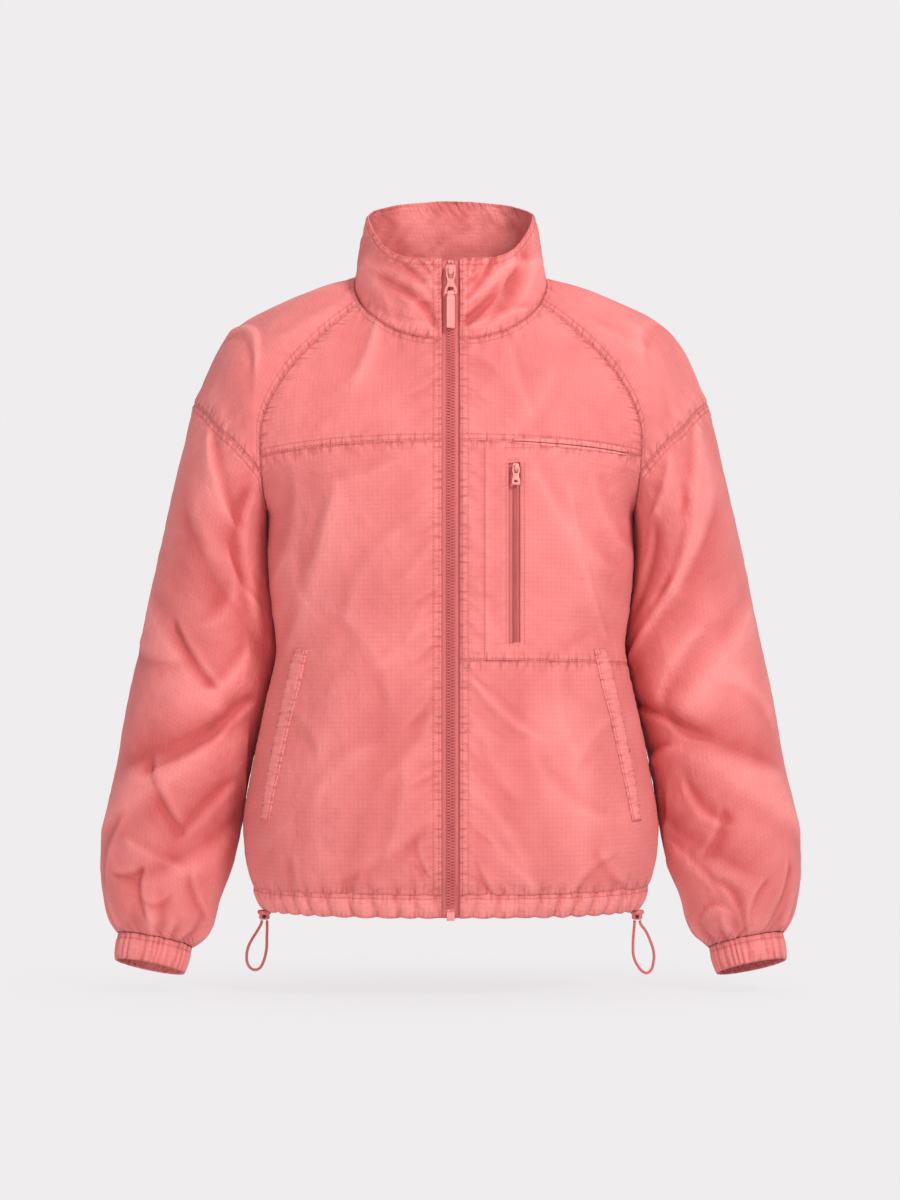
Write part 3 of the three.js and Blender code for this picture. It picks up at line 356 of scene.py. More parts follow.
def armhole_point(turn):
    """The sleeve's top ring at a share of its turn: over the arm to the front, then under it."""
    quarter, low = 8 / 24, 0.5
    over = drop_seam.at(np.where(turn <= 0.5, 0.5 - 0.5 * turn / quarter, 1 - 0.5 * (turn - 2 / 3) / quarter))
    under_front = underarm["front"].at(1 - (turn - quarter) / (low - quarter))
    under_back = underarm["back"].at((turn - low) / (2 / 3 - low))
    under = np.where((turn <= low)[..., None], under_front, under_back)
    return np.where(((turn > quarter) & (turn < 2 / 3))[..., None], under, over)


def sleeve_height(share):
    """The sleeve's rings lie closer together towards the cuff."""
    return SLEEVE_TOP + (SLEEVE_END - SLEEVE_TOP) * (1.6 * share - 0.6 * share**2)


def sleeve_point(share, turn):
    z, angle = sleeve_height(share), 2 * np.pi * turn
    ring = ring_point(SLEEVE, z, angle)
    top = armhole_point(turn) - ring_point(SLEEVE, SLEEVE_TOP + 0 * z, angle)
    fade = np.clip(share * 18 / SLEEVE_BLEND, 0, 1)
    return ring + top * (1 - fade * (2 - fade))[..., None]


def cuff_point(share, turn):
    return ring_point(CUFF, SLEEVE_END + (CUFF_END - SLEEVE_END) * share, 2 * np.pi * turn)


def hem_point(half, share_up, share):
    z = HEM_BOTTOM + (HEM_SEAM - HEM_BOTTOM) * share_up
    depth, half_width = read(TORSO, half, z), read(TORSO, "half_width", z)
    across, back = turned(share, 90, BODY_ROWS["squareness"][0])
    if half == "back":
        return xyz(half_width * across, depth * (1 - back), z)
    return xyz(ZIP_EDGE + (half_width - ZIP_EDGE) * across, -depth * (1 - back), z)


SLEEVE_BLEND = 1.6
COLLAR_SWELL = 2


def neck_seam(turn):
    """The neck seam from the front edge, turn 0, over the shoulder to the middle of the back, turn 1."""
    front, side = 0.31, 0.62
    a = body_point("front", ROW["neck"] + 0 * turn, np.clip(turn / front, 0, 1))
    b = shoulder_point(SHOULDER_ROWS + 0 * turn, np.clip((turn - front) / (side - front), 0, 1))
    c = body_point("back", ROW["neck"] + 0 * turn, np.clip((1 - turn) / (1 - side), 0, 1))
    return np.where((turn < front)[..., None], a, np.where((turn < side)[..., None], b, c))


def collar_point(share, turn):
    """Turn runs from one front edge, -1, round the back, 0, to the other, 1."""
    foot = neck_seam(1 - np.abs(turn))
    depth = np.where(foot[..., 1] < 0, NECK["front"], NECK["back"])
    angle = np.arctan2(foot[..., 0] / NECK["half_width"], -foot[..., 1] / depth)
    rim = rim_point(np.degrees(angle))
    made = foot + (rim - foot) * share[..., None]
    made[..., 0] += COLLAR_SWELL * np.sin(np.pi * share) * np.sin(angle)
    made[..., 0] *= np.where(turn < 0, 1, -1)
    return made


# %% [markdown]
# Folds could come from a cloth simulation, but then nobody could say where each one lies. Here they
# are heights added along the cloth's normal, and each main fold is listed with its place. Cloth creases
# with a steep side and a gentle side, so a fold has both. Gathers and puckers are waves that wander,
# so that no two neighbours are alike, and every value comes from fixed numbers.

# %% Relief


def pick(n, seed):
    """A fixed number from -1 to 1 for each whole n."""
    return 2 * np.modf(np.abs(np.sin(n * 12.9898 + seed * 78.233) * 43758.5453))[0] - 1


def wander(s, seed):
    """A smooth uneven line through fixed numbers, one for each whole s."""
    k = np.floor(s)
    t = s - k
    t = t * t * (3 - 2 * t)
    return pick(k, seed) * (1 - t) + pick(k + 1, seed) * t


def ruffle(p, q, size, seed):
    """Uneven soft bumps over a surface, from -1 to 1."""
    p, q = p / size, q / size
    k = np.floor(q)
    t = q - k
    t = t * t * (3 - 2 * t)
    return wander(p, seed + 7.7 * k) * (1 - t) + wander(p, seed + 7.7 * (k + 1)) * t


def ripple(s, wave, seed):
    """Uneven waves along a seam: their lengths and heights wander."""
    swing = s / wave + 0.55 * wander(s / (1.9 * wave), seed)
    return np.sin(2 * np.pi * swing) * (0.62 + 0.38 * wander(s / (1.3 * wave), seed + 3))


def creases(s, wave, seed):
    """Rounded ridges between sharp uneven valleys, from about -0.6 to 0.5."""
    swing = s / wave + 0.6 * wander(s / (1.8 * wave), seed)
    tall = 0.7 + 0.3 * wander(s / (1.2 * wave), seed + 3)
    return (np.abs(np.sin(np.pi * swing)) ** 0.75 - 0.6) * tall


def fading(distance, reach):
    """1 at an edge, falling softly to 0 at a distance."""
    t = np.clip(distance / reach, 0, 1)
    return (1 - t) ** 2 * (1 + 2 * t)


def folds(rows, p, q, stretch=1.0):
    """Ridges and troughs along bowed lines from (p1, q1) to (p2, q2), steep on one side only."""
    total = np.zeros(np.broadcast(p, q).shape)
    for p1, q1, p2, q2, width, rise, bow in rows:
        dp, dq = (p2 - p1) * stretch, q2 - q1
        length = np.hypot(dp, dq)
        pp, qq = (p - p1) * stretch, q - q1
        along = (pp * dp + qq * dq) / length**2
        off = (pp * dq - qq * dp) / length - bow * 4 * along * (1 - along)
        past = np.maximum(np.maximum(-along, along - 1), 0) * length / (1.6 * width)
        body = np.clip(along, 0, 1)
        slim = width * (0.62 + 0.38 * np.sin(np.pi * (0.15 + 0.7 * body)))
        apart = np.where(off < 0, 0.62, 1.5) * slim
        ridge = np.exp(-np.abs(off / apart) ** 1.25)
        beside = np.exp(-((off + 1.25 * slim) / (0.75 * slim)) ** 2)
        total += rise * np.exp(-past**2) * (ridge - 0.42 * beside)
    return total


# %% [markdown]
# A panel is a grid of points that knows its distances from each edge, measured along the cloth,
# because puckers and stitches keep their distance from a seam. It is raised by its relief and then
# made a mesh: a plain grid whose points are moved on to the cloth. Its texture coordinates are real
# metres along the cloth, so a weave has one size everywhere, and each point remembers its relief
# and how near a seam it is, for the finish to use.

# %% Cloth panels


class Cloth:
    """A grid of cloth over rows (up) and columns (across), before and after its relief."""

    def __init__(self, surface, ups, acrosses, tube=False, side=1):
        self.up, self.across = np.meshgrid(ups, acrosses, indexing="ij")
        self.tube, self.side = tube, side
        self.points = surface(self.up, self.across)
        self.base = self.points
        self.normals = self.outward(self.points)
        self.measure()

    def outward(self, points):
        """Unit normals, away from the wearer on the +X side."""
        if self.tube:
            padded = np.concatenate([points[:, -2:-1], points, points[:, 1:2]], axis=1)
            along = (padded[:, 2:] - padded[:, :-2])
        else:
            along = np.gradient(points, axis=1)
        normals = np.cross(along, np.gradient(points, axis=0))
        return normals / np.maximum(np.linalg.norm(normals, axis=-1, keepdims=True), 1e-9)

    def measure(self):
        steps = np.linalg.norm(np.diff(self.points, axis=1), axis=-1)
        self.from_first = np.concatenate([0 * steps[:, :1], np.cumsum(steps, axis=1)], axis=1)
        self.to_last = self.from_first[:, -1:] - self.from_first
        rises = np.linalg.norm(np.diff(self.points, axis=0), axis=-1)
        self.from_foot = np.concatenate([0 * rises[:1], np.cumsum(rises, axis=0)], axis=0)
        self.to_top = self.from_foot[-1:] - self.from_foot
        self.x, self.y, self.z = np.moveaxis(self.points, -1, 0)

    def raise_by(self, height):
        self.relief = height
        self.points = self.points + self.normals * height[..., None]
        return self


def mesh_of(name, cloth, skip=None):
    """The cloth's grid as a mesh, with its coordinates in metres along the cloth as UVs."""
    rows, columns = cloth.points.shape[:2]
    bm = bmesh.new()
    bmesh.ops.create_grid(bm, x_segments=columns - 1, y_segments=rows - 1, size=1, calc_uvs=True)
    bm.verts.ensure_lookup_table()
    points = cloth.points * MM * np.array([cloth.side, 1, 1])
    for vertex, place in zip(bm.verts, points.reshape(-1, 3)):
        vertex.co = place
    flat = np.stack([cloth.from_first, cloth.from_foot], -1).reshape(-1, 2) * MM
    layer = bm.loops.layers.uv.verify()
    for face in bm.faces:
        for loop in face.loops:
            loop[layer].uv = flat[loop.vert.index]
    height = bm.verts.layers.float.new("relief")
    sides, ends = bm.verts.layers.float.new("sides"), bm.verts.layers.float.new("ends")
    beside = (0 if cloth.tube else 1) * np.maximum(fading(cloth.from_first, 16), fading(cloth.to_last, 16))
    across = np.maximum(fading(cloth.from_foot, 16), fading(cloth.to_top, 16))
    for vertex, rise, near, end in zip(bm.verts, cloth.relief.ravel(), beside.ravel(), across.ravel()):
        vertex[height], vertex[sides], vertex[ends] = rise, near, end
    if skip is not None:
        hidden = skip.ravel()
        gone = [face for face in bm.faces if all(hidden[v.index] for v in face.verts)]
        bmesh.ops.delete(bm, geom=gone, context="FACES")
    if cloth.tube:
        bmesh.ops.remove_doubles(bm, verts=bm.verts, dist=0.00001)
    if cloth.side < 0:
        bmesh.ops.reverse_faces(bm, faces=bm.faces)
    for face in bm.faces:
        face.smooth = True
    mesh = bpy.data.meshes.new(name)
    bm.to_mesh(mesh)
    bm.free()
    return mesh


# %% [markdown]
# A finish starts from the real material and how its surface was made. Colours are written as they
# look on a screen and turned into the linear light that shaders use. One helper adds any node with
# its settings and links, and a few small ones name what a pattern does: threads, dapples, tints and
# bumps. All their sizes are in metres.

# %% Making a finish


def colour(code):
    """A screen colour such as "e8726f" as linear light."""
    parts = [int(code[k:k + 2], 16) / 255 for k in (0, 2, 4)]
    return [c / 12.92 if c <= 0.04045 else ((c + 0.055) / 1.055) ** 2.4 for c in parts] + [1]


def add_node(tree, kind, sockets=None, **settings):
    """A shader node with its settings, its sockets set to values or linked from other sockets."""
    made = tree.nodes.new(kind)
    for name, value in settings.items():
        setattr(made, name, value)
    for name, value in (sockets or {}).items():
        if isinstance(value, bpy.types.NodeSocket):
            tree.links.new(value, made.inputs[name])
        else:
            made.inputs[name].default_value = value
    return made


def finish(name, roughness, sheen=0.0, specular=0.4, coat=0.0):
    material = bpy.data.materials.new(name)
    material.use_nodes = True
    shader = material.node_tree.nodes["Principled BSDF"]
    shader.inputs["Roughness"].default_value = roughness
    shader.inputs["Sheen Weight"].default_value = sheen
    shader.inputs["Sheen Roughness"].default_value = 0.45
    shader.inputs["Specular IOR Level"].default_value = specular
    shader.inputs["Coat Weight"].default_value = coat
    return material, material.node_tree, shader


def maths(tree, operation, a, b=0.0, c=None):
    sockets = {0: a, 1: b}
    if c is not None:
        sockets[2] = c
    return add_node(tree, "ShaderNodeMath", sockets, operation=operation).outputs[0]


def threads(tree, value, period, share):
    """1 on a thread of a share of each period, 0 between threads."""
    swing = maths(tree, "PINGPONG", value, period / 2)
    spread = add_node(tree, "ShaderNodeMapRange", {
        "Value": swing, "From Min": period / 2 * (1 - share), "From Max": period / 2 * (1 - 0.4 * share),
    }, interpolation_type="SMOOTHSTEP")
    return spread.outputs[0]


def dappled(tree, vector, scale, detail=3.0, roughness=0.55):
    return add_node(tree, "ShaderNodeTexNoise", {
        "Vector": vector, "Scale": scale, "Detail": detail, "Roughness": roughness,
    }).outputs["Fac"]


def tinted(tree, fac, dark, light, low=0.3, high=0.7):
    ramp = add_node(tree, "ShaderNodeMapRange", {"Value": fac, "From Min": low, "From Max": high})
    mix = add_node(tree, "ShaderNodeMix", {"Factor": ramp.outputs[0]}, data_type="RGBA")
    mix.inputs[6].default_value = colour(dark)
    mix.inputs[7].default_value = colour(light)
    return mix.outputs[2]


def multiplied(tree, a, b, amount):
    mix = add_node(tree, "ShaderNodeMix", {"Factor": amount}, data_type="RGBA", blend_type="MULTIPLY")
    tree.links.new(a, mix.inputs[6])
    tree.links.new(b, mix.inputs[7])
    return mix.outputs[2]


def bumped(tree, height, distance, strength=1.0, under=None):
    sockets = {"Height": height, "Distance": distance, "Strength": strength}
    if under is not None:
        sockets["Normal"] = under
    return add_node(tree, "ShaderNodeBump", sockets).outputs[0]


def puckers(tree, flat, edge, scale):
    """Narrow creases that the stitching draws in, square to an edge and fading away from it."""
    stretched = add_node(tree, "ShaderNodeMapping", {"Vector": flat, "Scale": scale}).outputs[0]
    narrow = add_node(tree, "ShaderNodeMapRange", {
        "Value": dappled(tree, stretched, 1, 2, 0.5), "From Min": 0.5, "From Max": 0.36,
    }).outputs[0]
    near = add_node(tree, "ShaderNodeAttribute", attribute_name=edge).outputs["Fac"]
    return maths(tree, "MULTIPLY", narrow, near)


# %% [markdown]
# Ripstop is plain-woven nylon with a thicker thread every few millimetres both ways. Dyed as a made
# garment and washed, it is matt and finely crinkled. Its colour also holds painted shade and light:
# it is painted darker in the troughs of its relief and paler on the ridges. Stitching draws narrow
# creases in along each seam. They are too fine for the grid of a panel, so the finish adds them,
# square to the nearest edge, as bumps with painted shade along them. The weave's own 0.3 mm threads
# would not show, so it is drawn at 0.9 mm.

# %% Ripstop
GRID_PITCH, GRID_THREAD = 0.0046, 0.16
WEAVE_PITCH = 0.0009
RELIEF_SHADE_TONES = {"trough": "cd5e5c", "ridge": "f38f8c"}
ACROSS_SEAM, ALONG_SEAM = 42, 250


def ripstop_cloth():
    """Washed ripstop: matt, with a soft sheen where it turns away."""
    material, tree, shader = finish("pink ripstop nylon", 0.8, sheen=0.14, specular=0.18)
    flat = add_node(tree, "ShaderNodeUVMap").outputs[0]
    place = add_node(tree, "ShaderNodeTexCoord").outputs["Object"]
    axes = add_node(tree, "ShaderNodeSeparateXYZ", {"Vector": flat}).outputs
    ribs = maths(tree, "MAXIMUM", *(threads(tree, axis, GRID_PITCH, GRID_THREAD) for axis in (axes[0], axes[1])))
    weave = maths(tree, "MULTIPLY", *(threads(tree, axis, WEAVE_PITCH, 0.9) for axis in (axes[0], axes[1])))
    relief = add_node(tree, "ShaderNodeAttribute", attribute_name="relief").outputs["Fac"]
    # Painted shade and light: the pink is darkened in the troughs of the relief and lightened on its ridges.
    relief_shaded_pink = tinted(tree, relief, RELIEF_SHADE_TONES["trough"], RELIEF_SHADE_TONES["ridge"], -3.0, 2.0)
    washed = tinted(tree, dappled(tree, place, 9, 4), "f4f0f0", "ffffff", 0.35, 0.65)
    shade = multiplied(tree, relief_shaded_pink, washed, 1.0)
    grid = multiplied(tree, shade, tinted(tree, ribs, "ffffff", "ece2e2", 0, 1), 0.35)
    drawn = maths(tree, "MAXIMUM", puckers(tree, flat, "ends", (ALONG_SEAM, ACROSS_SEAM, 1)),
                  puckers(tree, flat, "sides", (ACROSS_SEAM, ALONG_SEAM, 1)))
    # Painted shade: the pucker creases beside the seams are darkened in colour as well as bumped.
    shaded = multiplied(tree, grid, tinted(tree, drawn, "ffffff", "cfa9a9", 0.1, 1), 0.55)
    tree.links.new(shaded, shader.inputs["Base Color"])
    creased = bumped(tree, maths(tree, "SUBTRACT", 1, drawn), 0.0009, 0.7)
    dented = bumped(tree, dappled(tree, place, 34, 2, 0.5), 0.0055, 0.5, creased)
    crinkle = bumped(tree, dappled(tree, place, 95, 3, 0.6), 0.0024, 0.75, dented)
    fine = bumped(tree, dappled(tree, place, 340, 2, 0.5), 0.0005, 0.5, crinkle)
    ribbed = bumped(tree, ribs, 0.00016, 0.7, fine)
    tree.links.new(bumped(tree, weave, 0.00006, 0.5, ribbed), shader.inputs["Normal"])
    return material


# %% [markdown]
# The small parts are dyed or painted to match. The zip's tape is woven in a fine slanting rib. The
# teeth, box and toggles are moulded nylon, the sliders and pulls are cast metal under paint, which
# is smoother and has a clear coat, and the tab is soft rubber. The cord is elastic in a braided cover.

# %% Tape, mouldings and cord
TRIM = {"tape dark": "c96363", "tape": "e58582", "cord dark": "bd5457", "cord": "df7573"}


def woven_tape():
    """The zip's tape: threads across each other make a fine slanting rib."""
    material, tree, shader = finish("pink woven tape", 0.72, sheen=0.2, specular=0.25)
    place = add_node(tree, "ShaderNodeTexCoord").outputs["Object"]
    axes = add_node(tree, "ShaderNodeSeparateXYZ", {"Vector": place}).outputs
    upright = threads(tree, axes[0], 0.0011, 0.8)
    slanted = threads(tree, maths(tree, "ADD", axes[2], maths(tree, "MULTIPLY", axes[0], 0.6)), 0.0014, 0.8)
    ribs = maths(tree, "MULTIPLY", upright, slanted)
    tree.links.new(tinted(tree, ribs, TRIM["tape dark"], TRIM["tape"], 0, 1), shader.inputs["Base Color"])
    tree.links.new(bumped(tree, ribs, 0.0002, 0.7), shader.inputs["Normal"])
    return material


def moulded(name, dark, light, roughness, grain=700, coat=0.0, depth=0.00005):
    """Dyed nylon, rubber or painted metal, with a faint orange-peel surface."""
    material, tree, shader = finish(name, roughness, specular=0.45, coat=coat)
    shader.inputs["Coat Roughness"].default_value = 0.25
    place = add_node(tree, "ShaderNodeTexCoord").outputs["Object"]
    tree.links.new(tinted(tree, dappled(tree, place, 60, 2), dark, light), shader.inputs["Base Color"])
    tree.links.new(bumped(tree, dappled(tree, place, grain, 2), depth, 0.6), shader.inputs["Normal"])
    return material


def braided_cord():
    """Round elastic in a braided cover: slanted threads both ways."""
    material, tree, shader = finish("pink braided elastic", 0.7, sheen=0.25, specular=0.25)
    place = add_node(tree, "ShaderNodeTexCoord").outputs["Object"]
    axes = add_node(tree, "ShaderNodeSeparateXYZ", {"Vector": place}).outputs
    rise = maths(tree, "ADD", axes[2], maths(tree, "MULTIPLY", axes[0], 0.8))
    fall = maths(tree, "SUBTRACT", axes[2], maths(tree, "MULTIPLY", axes[0], 0.8))
    braid = maths(tree, "MAXIMUM", threads(tree, rise, 0.0016, 0.6), threads(tree, fall, 0.0016, 0.6))
    tree.links.new(tinted(tree, braid, TRIM["cord dark"], TRIM["cord"], 0, 1), shader.inputs["Base Color"])
    tree.links.new(bumped(tree, braid, 0.0003, 0.8), shader.inputs["Normal"])
    return material


# %% [markdown]
# The jacket is piece-dyed, so every finish is a near relation of one pink. The thread took more of
# the dye than the cloth did, so it is the deepest.

# %% Finishes
ripstop = ripstop_cloth()
zip_tape = woven_tape()
zip_nylon = moulded("pink moulded nylon", "c05a5a", "d06866", 0.42)
painted_metal = moulded("pink painted metal", "e08581", "e88f8a", 0.36, coat=0.25)
rubber_tab = moulded("pink soft rubber", "e98c88", "f09792", 0.55, grain=420)
toggle_nylon = moulded("pink toggle nylon", "cf6a68", "dc7774", 0.4)
cord_elastic = braided_cord()
thread = moulded("pink sewing thread", "b85454", "c86060", 0.6, grain=1500)
# Painted shade: a dark plug stands in the toggles' holes.
hole_shade = moulded("shaded hole", "4a2224", "5a2a2c", 0.8)
for cord in cords:
    cord.data.materials.append(cord_elastic)
print("finishes:", ", ".join(m.name for m in bpy.data.materials))

# %% [markdown]
# Every piece goes into the scene with the body that it moves with and the solids that it stands in
# for. Cloth is thin: its wall is added inwards by a modifier, so the outer face stays on its solid.
# Points lie closer together near seams, where the puckers are. Beside a seam the cloth rises in
# short creases, and the rows of stitches hold it down.

# %% Pieces and seams


def added(name, mesh, nodes, body="jacket", material=None):
    """A piece of the jacket in the scene, in the place of its CAD nodes."""
    piece = bpy.data.objects.new(name, mesh)
    bpy.context.scene.collection.objects.link(piece)
    if material is not None:
        piece.data.materials.append(material)
    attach(piece, body)
    if nodes:
        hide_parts(*nodes)
    return piece


def thicken(piece, thickness=WALL):
    modifier = piece.modifiers.new("thickness", "SOLIDIFY")
    modifier.thickness = thickness * MM
    modifier.offset = -1
    modifier.use_rim = True
    return piece


def spaced(length, coarse, fine, reach=14):
    """Places along a length, close together near both ends where the seams are."""
    places = [0.0]
    while places[-1] < length:
        near = min(places[-1], length - places[-1])
        places.append(places[-1] + fine + (coarse - fine) * min(max(near - reach, 0) / reach, 1))
    return np.array(places) * length / places[-1]


def even(curve, low, high, coarse=3.0, fine=1.5, reach=14):
    """Values between two limits whose points on a curve lie so."""
    t = np.linspace(low, high, 600)
    gaps = np.linalg.norm(np.diff(curve(t), axis=0), axis=1)
    lengths = np.append(0, np.cumsum(gaps))
    return np.interp(spaced(lengths[-1], coarse, fine, reach), lengths, t)


def stitched(distance, rows, width=1.3):
    """1 between rows of stitching, falling to nothing on them."""
    made = np.clip(distance / 1.4, 0, 1)
    for row in rows:
        made = made * (1 - 0.8 * np.exp(-(((distance - row) / width) ** 2)))
    return made


def seam(distance, along, size, seed, rows=(1.8, 7), wave=10.5, reach=17, lean=0.4):
    """Puckers beside a topstitched seam: short sharp creases that lean, and longer ones among them."""
    along = along + lean * distance
    height = fading(distance, reach) * (0.3 + 1.9 * creases(along, wave, seed))
    far = fading(distance, 2.4 * reach) * creases(along + lean * distance, 2.3 * wave, seed + 11)
    return size * stitched(distance, rows) * (height + 0.9 * far)


# %% [markdown]
# The fronts are two yokes, the left front, and on the right a chest panel over a lower front, with
# the pocket's window cut out of it. Each could be one flat panel with a drawn seam, but separate
# pieces give real edges. Folds are listed in x and z as seen from the front, each with its
# width, its rise and its bow, and they differ from side to side as on the real jacket.

# %% Fronts
FRONT_FOLDS = {
    "right": [
        (120, -215, 138, -290, 17, 1.3, 4), (66, -395, 92, -545, 17, -1.1, 6), (118, -420, 128, -560, 16, 1.2, -5),
        (24, -390, 80, -440, 7, 1.7, 5), (20, -492, 78, -588, 8, 1.6, -8), (116, -205, 152, -345, 3.2, 1.5, 4),
        (30, -455, 56, -500, 6, -1.4, 3), (96, -100, 60, -150, 9, 1.2, -4), (150, -430, 120, -470, 7, 1.3, 3),
        (84, -470, 140, -520, 9, 1.5, 8), (28, -300, 46, -345, 6, 1.0, 3), (40, -540, 74, -580, 6, 1.4, 2),
        (140, -200, 168, -255, 8, 1.8, 4), (14, -210, 34, -262, 6, 1.2, 3), (130, -345, 96, -372, 7, -1.1, 2),
        (18, -418, 42, -442, 4.5, 1.1, 2), (16, -470, 34, -492, 4.5, 1.0, 2), (104, -380, 116, -452, 8, 1.3, 4),
        (26, -568, 38, -592, 4, -2.0, 1), (144, -561, 168, -592, 6, -2.0, 2), (122, -592, 154, -563, 6, -1.8, -2),
        (23, -397, 67, -440, 6, -1.8, 3), (86, -194, 144, -271, 9, 1.6, 5), (15, -330, 27, -344, 3.5, -1.3, 1),
        (15, -296, 30, -306, 3.5, -1.2, 1), (17, -376, 32, -392, 3.5, -1.4, 1), (15, -452, 30, -470, 3.5, -1.3, 1),
        (15, -522, 34, -540, 4, -1.4, 1), (14, -98, 34, -118, 4, -1.3, 2), (14, -72, 42, -88, 5, -1.4, -2),
        (60, -70, 76, -124, 6, 1.4, 3),
    ],
    "left": [
        (120, -215, 138, -290, 17, 1.3, 4), (66, -395, 92, -545, 17, -1.1, 5), (118, -420, 128, -560, 16, 1.2, -6),
        (117, -222, 157, -352, 9, 2.6, 3), (112, -204, 117, -222, 5, 1.6, 1), (76, -36, 96, -94, 8, 1.8, 4),
        (32, -566, 26, -580, 5, 1.8, 1), (150, -205, 168, -280, 8, 1.8, 5), (58, -250, 98, -318, 9, 1.3, -6),
        (30, -330, 66, -370, 7, 1.2, 4), (100, -330, 60, -395, 9, 1.3, 6), (22, -430, 58, -478, 7, 1.4, 4),
        (86, -455, 130, -505, 9, 1.4, -6), (18, -250, 40, -286, 6, 1.1, 3), (18, -520, 40, -560, 6, 1.2, 3),
        (60, -180, 110, -196, 7, 1.0, 2), (150, -420, 128, -452, 7, 1.2, 3), (44, -480, 62, -560, 8, 1.4, 4),
        (75, -45, 96, -105, 6, 1.8, 3), (31, -569, 26, -584, 4, -2.4, 1),
        (20, -406, 36, -428, 4, -1.5, 1), (12, -474, 34, -488, 4, -1.5, 1), (13, -522, 97, -580, 8, -1.8, 5),
        (25, -572, 34, -546, 4, -2.0, 2), (145, -310, 155, -271, 7, 1.6, 3), (14, -300, 32, -312, 3.5, -1.3, 1),
        (14, -350, 30, -368, 3.5, -1.4, 1), (14, -236, 30, -246, 3.5, -1.2, 1), (14, -94, 36, -110, 4, -1.3, 2),
        (150, -590, 156, -568, 5, -1.8, 1), (96, -592, 90, -572, 5, -1.4, 1),
    ],
}
HEM_WAVE = 15.5
CHEST_WINDOW = {"x": 62.4, "half": 6.6, "top": -177, "bottom": -352}
PLEAT_AT = 32.7
SEEDS = {"left": 3.1, "right": 8.6}


def hem_gathers(share, distance, half, seed):
    """Gathers that rise from the hem casing: the same waves above and below its seam."""
    along = share * {"front": 190, "back": 205}[half]
    tall = 24 + 12 * wander(along / HEM_WAVE + 0.4, seed + 5)
    return 1.7 * fading(distance, tall) * creases(along, HEM_WAVE, seed)


def front_relief(cloth, where, low, high):
    seed = SEEDS[where] + low
    c = cloth
    height = 0.75 * folds(FRONT_FOLDS[where], c.x, c.z)
    height += 0.55 * ruffle(c.x, 0.6 * c.z, 26, seed) + 0.3 * ruffle(c.x + 0.5 * c.z, c.z, 13, seed + 2)
    outer = np.clip(c.to_last / 12, 0, 1)
    height = height * outer * np.clip(c.from_first / 9, 0.1, 1)
    height += seam(c.from_first, c.z, 1.15, seed + 0.5, rows=(2.6, 8.2), wave=8.5, reach=24)
    height += seam(c.to_last, c.from_foot, 0.9, seed + 1.5, rows=(1.6, 7), wave=10)
    if low == ROW["hem"]:
        rise = np.clip(0.3 + c.from_foot / 5, 0, 1)
        height += 1.7 * hem_gathers(c.across, c.from_foot, "front", SEEDS[where]) * rise
    else:
        height += seam(c.from_foot, c.from_first, 0.8, seed + 2.5, rows=(1.4, 6.5))
    height += seam(c.to_top, c.from_first, 0.8, seed + 3.5, rows=(1.4,) if high < ROW["neck"] else (1.4, 6))
    if high == ROW["neck"]:
        height += 1.6 * fading(c.to_top, 36) * np.clip(c.to_top / 4, 0, 1) * creases(c.from_first, 15, seed + 4)
    return height


def front_cloth(where, low, high):
    middle = (low + high) / 2

    def along(t):
        return body_point("front", middle + 0 * t, t)

    def upward(t):
        return body_point("front", t, 0.5 + 0 * t)

    return Cloth(lambda u, v: body_point("front", u, v), even(upward, low, high, 2.3, 1.5),
                 even(along, 0, 1, 2.6, 1.3), side=SIDES[where])


def add_front(name, where, low, high):
    cloth = front_cloth(where, low, high)
    cloth.raise_by(front_relief(cloth, where, low, high))
    piece = thicken(added(name + "_cloth", mesh_of(name + "_cloth", cloth), [name], material=ripstop))
    return piece, cloth


def share_at(row, x):
    """The share of each front row at which x is met."""
    t = np.linspace(0, 1, 400)
    return np.array([np.interp(x, body_point("front", np.full(400, r), t)[:, 0], t) for r in row])


